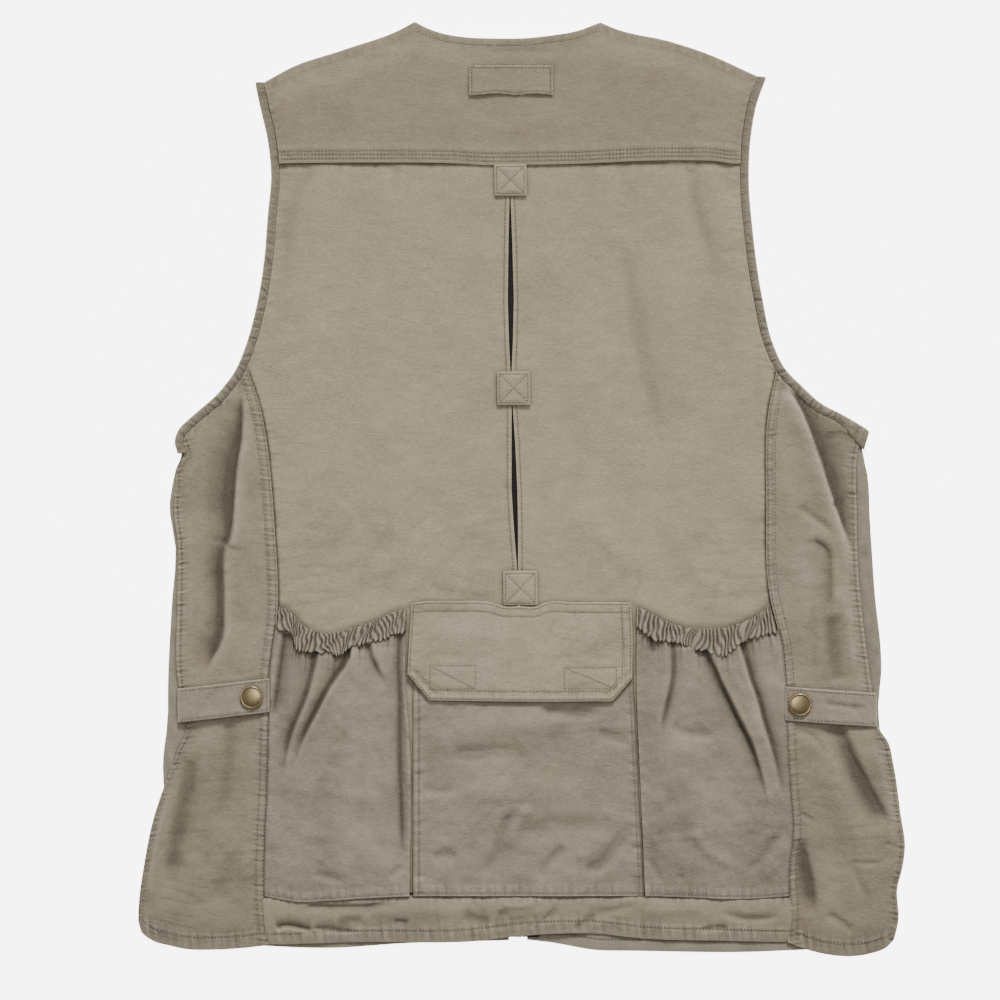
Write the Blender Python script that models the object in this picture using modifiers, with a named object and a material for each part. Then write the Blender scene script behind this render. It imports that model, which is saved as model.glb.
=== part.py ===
"""Sleeveless canvas utility vest with back pockets, laid flat with its back up.

The fronts lie flat on the surface at z = 0 and the back lies over them. +Y runs up the garment
to the neck, +X to the right as seen from above. Each panel is a grid between its four edges,
lifted by a height rule and given its wall by Solidify. Sizes are in millimetres until the
points are made, and the origin is under the middle of the garment's box.
"""

from collections import namedtuple

import bpy
import numpy as np

MM = 0.001

# Cloth and the gaps between layers
CLOTH = 1.2
DOUBLE_CLOTH = 2.0
MESH_CLOTH = 1.0
GAP = 0.3
HALF_GAP = 0.15
POCKET_WALL = 1.8

# Levels of the undersides, from the floor up
FRONT_LEVEL = 0.0
RIM_LEVEL = FRONT_LEVEL + CLOTH + GAP
TAPE_THICK = 1.0
CHAIN_THICK = 2.0
MESH_LEVEL = 3.3
BACK_LEVEL = MESH_LEVEL + MESH_CLOTH + GAP
ON_BACK_LEVEL = BACK_LEVEL + CLOTH + GAP
RIM_ROLL = 26.0
FOLD_REACH = 14.0
FOLD_START, FOLD_END = 0.2, 0.25

# Zip under the middle of the back
ZIP_X = -2.7
ZIP_FOOT_Y = -350.0
ZIP_TOP_Y = 178.0
CHAIN_WIDTH = 6.0
TAPE_WIDTH = 13.0
FRONT_SPLIT = 14.0
ZIP_CLEAR = 26.0
ZIP_SLOPE = 40.0
END_BOX_LENGTH = 9.0
SLIDER_LENGTH = 14.0

BINDING_WIDTH = 7.0
STRAP_WIDTH = 26.5
SNAP_RADIUS = 8.75
SNAP_HEIGHT = 3.4
SNAP_DOME = 1.5
MESH_HALF_WIDTH = 27.0
MESH_TUCK = 14.0
YOKE_SEAM_Y = 254.0
HEM_SEAM_Y = -316.5

# Outline of the back, as x, y down each edge
NECK = ((-83.5, 365.0), (-72.9, 359.6), (-59.7, 355.3), (-43.3, 352.6), (-20.7, 351.6),
        (1.2, 351.8), (23.8, 354.1), (41.7, 357.2), (61.4, 364.4))
SHOULDER_LEFT = ((-207.9, 314.3), (-178.2, 329.9), (-140.8, 342.4), (-93.2, 359.6), (-83.5, 365.0))
SHOULDER_RIGHT = ((61.4, 364.4), (72.9, 359.6), (117.4, 349.1), (142.4, 340.9), (190.7, 319.0))
ARMHOLE_LEFT = ((-207.9, 314.3), (-204.8, 299.5), (-198.5, 271.4), (-196.0, 243.0),
                (-198.5, 215.3), (-201.6, 177.8), (-207.9, 140.4), (-215.7, 112.3),
                (-223.5, 93.6), (-237.5, 74.9), (-258.6, 56.2), (-268.4, 46.2),
                (-271.3, 37.5), (-268.7, 26.5))
ARMHOLE_RIGHT = ((190.7, 319.0), (184.5, 301.9), (179.8, 276.9), (178.0, 240.0), (181.0, 202.0),
                 (188.4, 149.8), (197.0, 113.1), (205.5, 95.2), (219.6, 80.3), (234.4, 67.1),
                 (251.6, 58.1), (269.5, 47.3))
ARMHOLE_TURN_LEFT = 38.9

# Curved seams between the back and the side panels
BACK_SEAM_LEFT = ((-214.1, 95.2), (-210.2, 84.2), (-204.8, 68.6), (-198.5, 37.4), (-194.6, 1.6),
                  (-192.3, -31.2), (-189.9, -92.0), (-195.8, -148.0), (-195.8, -174.0),
                  (-197.0, -231.7), (-198.9, -273.0), (-199.3, -317.5), (-196.6, -356.0))
BACK_SEAM_RIGHT = ((194.6, 92.0), (192.7, 63.2), (190.7, -8.6), (193.4, -83.5), (202.1, -120.1),
                   (204.8, -148.2), (205.8, -182.5), (208.3, -232.4), (210.6, -260.5),
                   (207.6, -301.9), (208.2, -325.0), (207.6, -354.0))

# Free edges of the side panels, from the binding's end down to the hem corner
SIDE_EDGE_LEFT = ((-261.2, 27.6), (-267.6, 20.0), (-270.6, 0.0), (-271.6, -10.0), (-268.6, -45.0),
                  (-269.0, -90.0), (-268.4, -150.0), (-263.5, -176.0), (-261.5, -186.0),
                  (-268.2, -203.0), (-278.1, -229.0), (-288.2, -260.0), (-294.5, -291.0),
                  (-299.1, -325.0), (-299.6, -337.0))
SIDE_EDGE_RIGHT = ((265.6, 40.6), (263.0, 30.0), (262.0, -20.0), (263.0, -60.0), (267.0, -105.0),
                   (272.6, -148.0), (276.0, -172.0), (279.4, -187.0), (286.6, -198.0),
                   (290.6, -215.0), (296.0, -252.7), (299.6, -281.0), (296.8, -299.5),
                   (293.8, -311.0), (294.5, -337.0), (291.0, -352.0))
SIDE_HEM_LEFT = ((-299.6, -337.0), (-296.6, -346.5), (-287.4, -353.3), (-275.0, -356.8),
                 (-262.5, -359.4), (-237.5, -359.8), (-215.0, -358.4), (-196.6, -356.0))
SIDE_HEM_RIGHT = ((207.6, -354.0), (222.0, -359.5), (236.7, -363.3), (249.2, -364.9),
                  (261.7, -364.9), (274.2, -362.6), (284.5, -358.6), (291.0, -352.0))
BACK_HEM = ((-196.6, -356.0), (-120.0, -354.0), (-34.0, -352.9), (-9.0, -349.9), (58.0, -347.3),
            (92.4, -351.0), (150.0, -352.8), (207.6, -354.0))

# Edges of the fronts that lie beneath
FRONT_EDGE_LEFT = ((-262.0, 31.0), (-268.6, 20.0), (-273.4, 0.0), (-275.0, -9.4), (-270.4, -46.8),
                   (-273.4, -90.0), (-276.5, -159.0), (-276.5, -178.0), (-280.4, -215.3),
                   (-279.0, -240.0), (-272.0, -300.0), (-262.0, -345.0))
FRONT_EDGE_RIGHT = ((261.5, 36.0), (265.8, 28.1), (268.8, 18.7), (272.6, -28.1), (276.5, -84.2),
                    (281.2, -131.0), (281.2, -146.0), (278.9, -165.0), (279.8, -184.0),
                    (283.0, -230.0), (286.0, -280.0), (280.0, -345.0))
FRONT_HEM_LEFT = ((-262.0, -345.0), (-230.0, -354.0), (-187.6, -357.8), (-150.2, -358.8),
                  (-87.8, -354.9), (-40.0, -353.6), (-10.0, -353.0))
FRONT_HEM_RIGHT = ((5.0, -352.6), (26.1, -354.9), (55.8, -360.2), (91.7, -361.1),
                   (199.3, -361.1), (240.0, -358.0), (280.0, -345.0))
FRONT_NECK_DROP = 3.0
FRONT_ARMHOLE_INSET = 6.0
FRONT_SHOULDER_DROP = 8.0

# Centre vent: the line where the back panels meet, and half of the opening between them
Vent = namedtuple("Vent", "y x half_open")
VENT = (Vent(254.0, -9.0, 0.15), Vent(228.0, -9.0, 0.3), Vent(190.0, -8.7, 1.5),
        Vent(147.0, -8.4, 2.3), Vent(115.0, -8.3, 1.5), Vent(90.0, -8.2, 0.3),
        Vent(66.0, -7.4, 0.3), Vent(35.0, -6.4, 1.4), Vent(0.0, -5.6, 2.2),
        Vent(-30.0, -4.4, 1.6), Vent(-62.0, -3.1, 0.3), Vent(-90.0, -2.0, 0.15),
        Vent(-316.5, 0.0, 0.15))

# Pockets and flap
POCKET_LEFT_INNER = ((-89.9, -93.6), (-89.9, -165.0), (-88.0, -185.0), (-87.3, -316.0))
POCKET_CENTRE_LEFT = ((-84.6, -96.0), (-84.6, -316.0))
POCKET_CENTRE_RIGHT = ((85.0, -96.0), (88.4, -170.0), (91.2, -226.0), (95.4, -316.0))
POCKET_RIGHT_INNER = ((89.6, -91.3), (89.8, -165.0), (92.4, -226.0), (96.4, -316.0))
CASING_TOP_LEFT = ((-189.0, -92.4), (-182.1, -95.2), (-168.1, -108.2), (-147.8, -112.3),
                   (-129.9, -108.4), (-110.4, -101.4), (-102.6, -97.5), (-89.9, -93.6))
CASING_FOOT_LEFT = ((-191.2, -108.4), (-180.6, -111.0), (-175.1, -124.0), (-151.7, -127.2),
                    (-143.9, -129.3), (-132.2, -123.0), (-107.3, -116.6), (-89.9, -110.8))
CASING_TOP_RIGHT = ((89.6, -91.3), (101.0, -97.5), (119.7, -106.1), (146.3, -109.2),
                    (159.5, -108.4), (171.2, -104.5), (182.1, -99.8), (193.4, -91.0))
CASING_FOOT_RIGHT = ((89.6, -107.6), (105.7, -117.6), (119.7, -119.6), (140.8, -125.8),
                     (160.3, -128.8), (168.0, -122.0), (182.1, -114.9), (198.6, -112.4))
POCKET_FOOT_Y = -316.0
GATHERS = 26
GATHER_RISE = 1.5
POINTS_PER_GATHER = 4
GATHER_SWAY = 0.5
GATHER_UNEVEN = 0.25
MOUTH_RISE = 1.4
BAG_RISE = 3.6
BAG_SIDE, BAG_MOUTH, BAG_FOOT, BAG_PLEAT = 0.2, 0.3, 0.16, 0.12
CENTRE_RISE = 1.6
CENTRE_SLOPE = 22.0
FLAP_TOP = ((-85.7, -89.0), (-40.0, -89.4), (-17.0, -89.6), (-15.4, -91.6), (13.4, -91.6),
            (15.0, -89.6), (40.0, -89.0), (85.4, -89.0))
FLAP_LEFT = ((-85.7, -89.0), (-88.9, -144.3))
FLAP_RIGHT = ((85.4, -89.0), (86.2, -147.4))
FLAP_FOOT = ((-88.9, -144.3), (-71.4, -164.6), (0.0, -165.6), (70.6, -165.4), (86.2, -147.4))

Tab = namedtuple("Tab", "name left right top foot")
TABS = (Tab("tab_top", -21.5, 4.0, 253.2, 228.5),
        Tab("tab_middle", -19.4, 6.9, 91.6, 65.3),
        Tab("tab_bottom", -14.6, 12.6, -63.8, -90.9))
NECK_PATCH = Tab("neck_patch", -41.0, 24.6, 330.3, 306.9)

# Waist straps: plan of the four corners, and the height of the underside along the strap
Strap = namedtuple("Strap", "name outer_x outer_top inner_x inner_top snap_x snap_y")
STRAPS = (Strap("left", -268.4, -155.9, -196.3, -147.4, -210.2, -162.2),
          Strap("right", 277.6, -159.2, 205.4, -154.0, 216.7, -167.9))
StrapHeight = namedtuple("StrapHeight", "share level")
STRAP_HEIGHTS = (StrapHeight(0.0, 3.4), StrapHeight(0.15, 5.6), StrapHeight(0.35, 7.4),
                 StrapHeight(0.6, 7.9), StrapHeight(1.0, 7.4))
STRAP_HOLD = 24.0
STRAP_PRESS = 0.75

# Folds: a ridge is positive, a valley negative, and the path runs along its middle
Fold = namedtuple("Fold", "height half_width path")
BACK_FOLDS = (
    Fold(-1.5, 9.0, ((77.6, 197.0), (92.0, 125.0), (104.0, 60.0), (113.0, 15.0))),
    Fold(1.5, 14.0, ((102.0, 190.0), (118.0, 110.0), (136.0, 20.0), (140.0, -30.0))),
    Fold(-1.3, 9.0, ((131.0, 240.0), (147.0, 190.0), (163.0, 148.0))),
    Fold(1.4, 12.0, ((158.0, 238.0), (171.0, 170.0), (176.0, 120.0))),
    Fold(1.2, 16.0, ((20.0, 200.0), (44.0, 120.0), (58.0, 40.0))),
    Fold(-1.2, 12.0, ((-178.0, 236.0), (-182.0, 180.0), (-190.0, 110.0))),
    Fold(1.2, 18.0, ((-150.0, 225.0), (-152.0, 120.0), (-158.0, 20.0))),
    Fold(1.3, 18.0, ((-70.0, 230.0), (-76.0, 120.0), (-84.0, 10.0))),
    Fold(1.6, 13.0, ((-40.0, 0.0), (-72.0, -42.0), (-98.0, -76.0))),
    Fold(1.5, 13.0, ((40.0, -10.0), (70.0, -48.0), (92.0, -76.0))),
)
SIDE_FOLDS_LEFT = (
    Fold(3.6, 12.0, ((-209.0, 62.0), (-215.0, 10.0), (-219.0, -60.0), (-221.0, -140.0))),
    Fold(-3.2, 6.5, ((-221.0, 72.0), (-227.0, 34.0), (-235.0, 5.0), (-238.0, -32.0),
                     (-240.0, -70.0), (-242.0, -138.0))),
    Fold(2.2, 8.0, ((-248.0, 48.0), (-254.0, 0.0), (-256.0, -60.0), (-256.0, -135.0))),
    Fold(3.0, 10.0, ((-262.0, -196.0), (-274.0, -240.0), (-284.0, -290.0), (-287.0, -330.0))),
    Fold(-2.0, 7.0, ((-250.0, -200.0), (-262.0, -250.0), (-272.0, -310.0))),
    Fold(3.0, 13.0, ((-240.0, -192.0), (-243.0, -240.0), (-247.0, -320.0))),
    Fold(-1.8, 7.0, ((-226.0, -190.0), (-227.0, -225.0), (-232.0, -260.0))),
    Fold(2.4, 9.0, ((-212.0, -195.0), (-213.0, -260.0), (-216.0, -330.0))),
)
SIDE_FOLDS_RIGHT = (
    Fold(4.0, 9.0, ((202.0, 74.0), (220.0, 34.0), (241.0, -14.0), (256.0, -48.0),
                    (264.0, -84.0))),
    Fold(-2.4, 8.0, ((224.0, 58.0), (243.0, 14.0), (255.0, -22.0))),
    Fold(3.0, 11.0, ((207.0, 20.0), (216.0, -40.0), (219.0, -100.0), (219.0, -142.0))),
    Fold(-3.0, 6.5, ((238.0, -38.0), (236.0, -66.0), (238.0, -105.0), (245.0, -150.0))),
    Fold(2.8, 8.0, ((252.0, -62.0), (256.0, -100.0), (262.0, -148.0))),
    Fold(3.2, 12.0, ((234.0, -198.0), (248.0, -240.0), (262.0, -290.0), (262.0, -336.0))),
    Fold(-2.6, 7.5, ((252.0, -192.0), (268.0, -222.0), (284.0, -250.0))),
    Fold(2.6, 9.0, ((272.0, -198.0), (284.0, -232.0), (289.0, -290.0))),
    Fold(-2.2, 8.0, ((219.0, -262.0), (225.0, -300.0), (235.0, -344.0))),
)
# Pleats of the gathered pockets, from the casing down
PLEATS_LEFT = (
    Fold(-2.6, 4.5, ((-181.0, -114.0), (-185.0, -150.0), (-189.0, -182.0))),
    Fold(-3.2, 5.0, ((-158.0, -126.0), (-163.0, -141.0), (-170.0, -165.0), (-180.0, -195.0),
                     (-185.0, -220.0))),
    Fold(-3.4, 5.0, ((-135.3, -127.0), (-142.4, -143.0), (-158.0, -168.5), (-168.1, -190.3),
                     (-173.0, -207.0))),
    Fold(-2.0, 4.5, ((-119.7, -122.0), (-108.0, -150.5))),
    Fold(-2.6, 4.0, ((-97.0, -112.0), (-94.0, -161.0), (-93.0, -200.0), (-92.0, -260.0))),
    Fold(1.6, 8.0, ((-150.0, -128.0), (-158.0, -152.0), (-171.0, -186.0))),
    Fold(1.6, 9.0, ((-126.0, -124.0), (-132.0, -160.0), (-146.0, -200.0))),
)
PLEATS_RIGHT = (
    Fold(-2.2, 4.0, ((101.8, -112.0), (98.5, -129.0))),
    Fold(-3.2, 5.0, ((117.4, -119.0), (117.2, -140.4), (116.6, -156.8), (112.0, -180.2),
                     (105.7, -210.6))),
    Fold(-3.4, 5.0, ((140.8, -124.0), (146.3, -135.0), (156.4, -155.2), (168.1, -180.2),
                     (178.2, -201.2), (185.0, -222.0))),
    Fold(-3.0, 4.5, ((170.0, -122.0), (177.0, -140.4), (184.5, -165.4), (192.0, -190.3),
                     (197.0, -226.2))),
    Fold(1.6, 9.0, ((129.0, -122.0), (134.0, -160.0), (138.0, -200.0))),
    Fold(1.6, 8.0, ((155.0, -126.0), (166.0, -152.0), (180.0, -186.0))),
)
CENTRE_POCKET_FOLDS = (
    Fold(0.9, 10.0, ((-60.0, -186.0), (-10.0, -180.0), (50.0, -186.0))),
    Fold(-0.9, 7.0, ((-58.0, -209.0), (-20.0, -205.0), (14.0, -209.0))),
    Fold(0.9, 12.0, ((-50.0, -240.0), (10.0, -236.0), (60.0, -246.0))),
    Fold(-0.8, 8.0, ((-10.0, -270.0), (40.0, -262.0), (76.0, -268.0))),
)

# Lines that neighbouring panels share on one side: side is -1 on the left and 1 on the right
SideLines = namedtuple("SideLines", "side yoke back side_top corner seam_rows seam")

# Divisions of the panels: rows down each stretch, and columns across each piece
YOKE_ROWS, ARMHOLE_ROWS, SEAM_ROWS = 8, 9, 19
HEM_ROWS = (-330.0, -343.0)
BACK_COLUMNS, SIDE_COLUMNS, HEM_COLUMNS, BAG_COLUMNS, BAG_ROWS = 11, 13, 23, 27, 15

Finish = namedtuple("Finish", "color roughness metallic")
CANVAS = Finish((0.318, 0.266, 0.202), 0.9, 0.0)
CANVAS_SHADED = Finish((0.265, 0.219, 0.165), 0.9, 0.0)
BINDING_CLOTH = Finish((0.215, 0.183, 0.133), 0.85, 0.0)
BLACK_MESH = Finish((0.012, 0.011, 0.010), 0.8, 0.0)
BRASS = Finish((0.34, 0.25, 0.11), 0.3, 1.0)
ZIP_CLOTH = Finish((0.03, 0.028, 0.024), 0.8, 0.0)
ZIP_METAL = Finish((0.05, 0.045, 0.04), 0.4, 1.0)


def clear_scene():
    for found in list(bpy.data.objects):
        bpy.data.objects.remove(found, do_unlink=True)


def make_collection(name):
    collection = bpy.data.collections.new(name)
    bpy.context.scene.collection.children.link(collection)
    return collection


def make_material(name, finish):
    material = bpy.data.materials.new(name)
    material.use_nodes = True
    shader = material.node_tree.nodes["Principled BSDF"]
    shader.inputs["Base Color"].default_value = (*finish.color, 1.0)
    shader.inputs["Roughness"].default_value = finish.roughness
    shader.inputs["Metallic"].default_value = finish.metallic
    material.diffuse_color = (*finish.color, 1.0)
    return material


def ease(share):
    """Rises smoothly from 0 to 1 as the share goes from 0 to 1."""
    share = np.clip(share, 0.0, 1.0)
    return share * share * (3.0 - 2.0 * share)


def smooth_line(points, count):
    """Evenly spaced points along a smooth line through the given ones, each span a cubic whose
    slope at a point runs parallel to the line between that point's neighbours."""
    points = np.array(points, dtype=float)
    along = np.concatenate(([0.0], np.cumsum(np.hypot(*np.diff(points, axis=0).T))))
    slope = np.gradient(points, along, axis=0)
    wanted = np.linspace(0.0, along[-1], count)
    span = np.clip(np.searchsorted(along, wanted, side="right") - 1, 0, len(along) - 2)
    length = (along[span + 1] - along[span])[:, None]
    share = (wanted[:, None] - along[span][:, None]) / length
    return (
        points[span] * (2 * share**3 - 3 * share**2 + 1)
        + slope[span] * length * (share**3 - 2 * share**2 + share)
        + points[span + 1] * (3 * share**2 - 2 * share**3)
        + slope[span + 1] * length * (share**3 - share**2)
    )


def joined(*strokes):
    """One line from several that meet end to end, with each meeting point kept once."""
    return np.concatenate([strokes[0]] + [stroke[1:] for stroke in strokes[1:]])


def offset_line(line, distance):
    """The line moved sideways, to the left of its direction, by the distance."""
    along = np.gradient(line, axis=0)
    along /= np.hypot(*along.T)[:, None]
    return line + distance * np.column_stack((-along[:, 1], along[:, 0]))


def stretch(line, top, foot, count):
    """The part of a line that runs down the garment between two heights."""
    heights = np.linspace(top, foot, count)
    return np.column_stack((np.interp(-heights, -line[:, 1], line[:, 0]), heights))


def moved(line, x=0.0, y=0.0):
    return line + np.array((x, y))


def patch(top, foot, left, right):
    """Grid between four edges, rows from top to foot and columns from left to right: the blend
    of the two pairs of edges, less the blend of their four corners."""
    across = np.linspace(0.0, 1.0, len(top))[None, :, None]
    down = np.linspace(0.0, 1.0, len(left))[:, None, None]
    between_sides = left[:, None] * (1 - across) + right[:, None] * across
    between_ends = top[None] * (1 - down) + foot[None] * down
    corners = (
        (top[0] * (1 - across) + top[-1] * across) * (1 - down)
        + (foot[0] * (1 - across) + foot[-1] * across) * down
    )
    return between_sides + between_ends - corners


def shares(grid):
    """How far across and how far down each point of a grid is, from 0 to 1."""
    rows, columns = grid.shape[:2]
    return np.meshgrid(np.linspace(0, 1, columns), np.linspace(0, 1, rows))


def distance_to(line, x, y):
    """Distance of each point to a line, and how far along the line its nearest place is."""
    start = line[:-1]
    leg = np.diff(line, axis=0)
    size = (leg**2).sum(axis=1)
    reach = np.concatenate(([0.0], np.cumsum(np.sqrt(size))))
    place = np.stack((x, y), axis=-1)[..., None, :] - start
    share = np.clip((place * leg).sum(axis=-1) / size, 0.0, 1.0)
    away = np.sqrt(((place - share[..., None] * leg) ** 2).sum(axis=-1))
    nearest = away.argmin(axis=-1)
    taken = np.take_along_axis(share, nearest[..., None], axis=-1)[..., 0]
    along = reach[nearest] + taken * np.sqrt(size)[nearest]
    return away.min(axis=-1), along / reach[-1]


def relief(folds, x, y):
    """Sum of the folds: each is a bell across its path that fades in and out at its ends."""
    total = np.zeros_like(x)
    for fold in folds:
        away, along = distance_to(np.array(fold.path), x, y)
        fade = ease(along / FOLD_START) * ease((1.0 - along) / FOLD_END)
        total += fold.height * fade * np.exp(-((away / fold.half_width) ** 2))
    return total


def rim_of_back():
    """The free outline of the back, as one closed line."""
    return joined(
        smooth_line(SHOULDER_LEFT, 12),
        smooth_line(NECK, 16),
        smooth_line(SHOULDER_RIGHT, 12),
        smooth_line(ARMHOLE_RIGHT, 30),
        smooth_line(SIDE_EDGE_RIGHT, 40),
        smooth_line(SIDE_HEM_RIGHT, 12)[::-1],
        smooth_line(BACK_HEM, 20)[::-1],
        smooth_line(SIDE_HEM_LEFT, 12)[::-1],
        smooth_line(SIDE_EDGE_LEFT, 40)[::-1],
        smooth_line(ARMHOLE_LEFT, 30)[::-1],
    )


def back_level(x, y):
    """Underside of the back: low along the free rim, level inside, and clear of the zip."""
    inside = ease(distance_to(RIM, x, y)[0] / RIM_ROLL)
    over_zip = 1.0 - ease((np.abs(x - ZIP_X) - ZIP_CLEAR) / ZIP_SLOPE)
    edge = RIM_LEVEL + (MESH_LEVEL - RIM_LEVEL) * over_zip
    return edge + (BACK_LEVEL - edge) * inside


def rim_fade(x, y):
    """Folds die out at the rim, so that the edges stay where the layers meet."""
    return ease(distance_to(RIM, x, y)[0] / FOLD_REACH)


def sheet(name, grid, level, finish, thick=CLOTH):
    """A panel of cloth: its underside is the grid at the given level, and Solidify moves the
    outer side out by the wall."""
    rows, columns = level.shape
    points = np.dstack((grid, level)).reshape(-1, 3) * MM
    first = (np.arange(rows - 1)[:, None] * columns + np.arange(columns - 1)).ravel()
    faces = np.column_stack((first, first + columns, first + columns + 1, first + 1))
    mesh = bpy.data.meshes.new(name)
    mesh.from_pydata(points.tolist(), [], faces.tolist())
    mesh.shade_smooth()
    piece = add_object(name, mesh, finish)
    wall = piece.modifiers.new("Wall", "SOLIDIFY")
    wall.thickness = thick * MM
    wall.offset = 1.0
    return piece


def raised_wall(name, grid, inner, outer, finish):
    """A wall between a plain inside and a raised outside, closed by a strip round its edge."""
    rows, columns = inner.shape
    size = rows * columns
    low = np.dstack((grid, inner)).reshape(-1, 3)
    high = np.dstack((grid, outer)).reshape(-1, 3)
    index = np.arange(size).reshape(rows, columns)
    first, right = index[:-1, :-1].ravel(), index[:-1, 1:].ravel()
    below, across = index[1:, :-1].ravel(), index[1:, 1:].ravel()
    edge = np.concatenate((index[0, :-1], index[:-1, -1], index[-1, :0:-1], index[:0:-1, 0]))
    onward = np.roll(edge, -1)
    faces = np.concatenate(
        (
            np.column_stack((first, right, across, below)),
            np.column_stack((first, below, across, right)) + size,
            np.column_stack((onward, edge, edge + size, onward + size)),
        )
    )
    mesh = bpy.data.meshes.new(name)
    mesh.from_pydata((np.concatenate((low, high)) * MM).tolist(), [], faces.tolist())
    mesh.shade_smooth()
    return add_object(name, mesh, finish)


def flat_piece(name, outline, level, thick, finish):
    """A flat piece of even thickness, filled inside its outline."""
    curve = bpy.data.curves.new(name, "CURVE")
    curve.dimensions = "2D"
    curve.fill_mode = "BOTH"
    curve.extrude = thick / 2 * MM
    spline = curve.splines.new("POLY")
    spline.points.add(len(outline) - 1)
    for point, (x, y) in zip(spline.points, outline):
        point.co = (x * MM, y * MM, 0.0, 1.0)
    spline.use_cyclic_u = True
    piece = add_object(name, curve, finish)
    piece.location.z = (level + thick / 2) * MM
    return piece


def box_piece(name, centre, size, finish):
    bpy.ops.mesh.primitive_cube_add(size=1.0)
    made = bpy.context.object
    mesh = made.data
    for vertex in mesh.vertices:
        vertex.co = [(c + v * s) * MM for c, v, s in zip(centre, vertex.co, size)]
    bpy.data.objects.remove(made, do_unlink=True)
    mesh.name = name
    return add_object(name, mesh, finish)


def add_object(name, data, finish):
    data.materials.append(make_material(name + "_finish", finish))
    piece = bpy.data.objects.new(name, data)
    VEST.objects.link(piece)
    return piece


def side_lines(side, armhole, shoulder_rise, turn_y, seam_points, edge_points):
    """The lines that neighbouring panels share on one side of the garment: the armhole, moved
    in by the binding, in its yoke, back and side stretches and past its turn at the corner, and
    the seam of the side panel."""
    line = offset_line(smooth_line(armhole, 90), -side * (BINDING_WIDTH + GAP))
    top, foot = line[0][1] + shoulder_rise, edge_points[0][1]
    seam_top = seam_points[0][1]
    corner = stretch(line, seam_top, seam_top, 1)[0]
    seam = smooth_line((corner, *seam_points[1:]), 160)
    seam_heights = np.concatenate((np.linspace(seam_top, HEM_SEAM_Y, SEAM_ROWS),
                                   (*HEM_ROWS, seam[-1][1])))
    return SideLines(
        side,
        stretch(line, top, YOKE_SEAM_Y, YOKE_ROWS),
        stretch(line, YOKE_SEAM_Y, seam_top, ARMHOLE_ROWS),
        stretch(line, seam_top, turn_y, SIDE_COLUMNS),
        stretch(line, turn_y, foot, 3 if turn_y > foot else 1),
        np.column_stack((np.interp(-seam_heights, -seam[:, 1], seam[:, 0]), seam_heights)),
        seam,
    )


def make_yoke():
    left, right = LEFT.yoke.copy(), RIGHT.yoke.copy()
    left[-1, 1] = right[-1, 1] = YOKE_SEAM_Y + HALF_GAP
    shoulder_left = smooth_line((left[0], *SHOULDER_LEFT[1:]), 7)
    shoulder_right = smooth_line((*SHOULDER_RIGHT[:-1], right[0]), 7)
    top = joined(shoulder_left, smooth_line(NECK, 9), shoulder_right)
    foot = np.linspace(left[-1], right[-1], len(top))
    grid = patch(top, foot, left, right)
    level = back_level(grid[..., 0], grid[..., 1])
    sheet("yoke", grid, level, CANVAS, DOUBLE_CLOTH)


def vent_edge(side, rows):
    """The edge of a back panel along the vent: -1 for the left panel and 1 for the right."""
    y = np.array([row.y for row in VENT])
    x = np.array([row.x + side * max(row.half_open, HALF_GAP) for row in VENT])
    return np.column_stack((np.interp(-rows, -y, x), rows))


def make_backs():
    for name, lines in (("back_left", LEFT), ("back_right", RIGHT)):
        down_seam = lines.seam_rows[lines.seam_rows[:, 1] >= HEM_SEAM_Y]
        outer = moved(joined(lines.back, down_seam), x=-lines.side * HALF_GAP)
        outer[0, 1] -= HALF_GAP
        outer[-1, 1] += HALF_GAP
        inner_edge = vent_edge(lines.side, outer[:, 1])
        left, right = (outer, inner_edge) if lines.side < 0 else (inner_edge, outer)
        top = np.linspace(left[0], right[0], BACK_COLUMNS)
        foot = np.linspace(left[-1], right[-1], BACK_COLUMNS)
        grid = patch(top, foot, left, right)
        x, y = grid[..., 0], grid[..., 1]
        level = back_level(x, y) + relief(BACK_FOLDS, x, y) * rim_fade(x, y)
        sheet(name, grid, level, CANVAS)


def make_side_panels():
    for name, lines, edge_points, hem_points, folds, strap in (
        ("side_panel_left", LEFT, SIDE_EDGE_LEFT, SIDE_HEM_LEFT[::-1], SIDE_FOLDS_LEFT,
         STRAPS[0]),
        ("side_panel_right", RIGHT, SIDE_EDGE_RIGHT, SIDE_HEM_RIGHT, SIDE_FOLDS_RIGHT,
         STRAPS[1]),
    ):
        at_seam = moved(lines.seam_rows, x=lines.side * HALF_GAP)
        free_edge = (lines.corner[-1], *edge_points[1:])
        at_side = joined(lines.corner,
                         smooth_line(free_edge, len(at_seam) - len(lines.corner) + 1))
        armhole = lines.side_top.copy()
        hem = smooth_line(hem_points, len(armhole))
        armhole[0], armhole[-1] = at_seam[0], at_side[0]
        hem[0], hem[-1] = at_seam[-1], at_side[-1]
        if lines.side < 0:
            grid = patch(armhole[::-1], hem[::-1], at_side, at_seam)
        else:
            grid = patch(armhole, hem, at_seam, at_side)
        x, y = grid[..., 0], grid[..., 1]
        middle = (strap.outer_top + strap.inner_top - STRAP_WIDTH) / 2
        held = 1.0 - STRAP_PRESS * np.exp(-(((y - middle) / STRAP_HOLD) ** 2))
        level = back_level(x, y) + relief(folds, x, y) * rim_fade(x, y) * held
        sheet(name, grid, level, CANVAS_SHADED)


def make_hem_band():
    foot = smooth_line(BACK_HEM, HEM_COLUMNS)
    rows = len(HEM_ROWS) + 2
    left = moved(LEFT.seam_rows[-rows:], x=HALF_GAP)
    right = moved(RIGHT.seam_rows[-rows:], x=-HALF_GAP)
    left[0, 1] = right[0, 1] = HEM_SEAM_Y - HALF_GAP
    foot[0], foot[-1] = left[-1], right[-1]
    top = np.linspace(left[0], right[0], len(foot))
    grid = patch(top, foot, left, right)
    level = back_level(grid[..., 0], grid[..., 1])
    sheet("hem_band", grid, level, CANVAS_SHADED)


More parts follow.
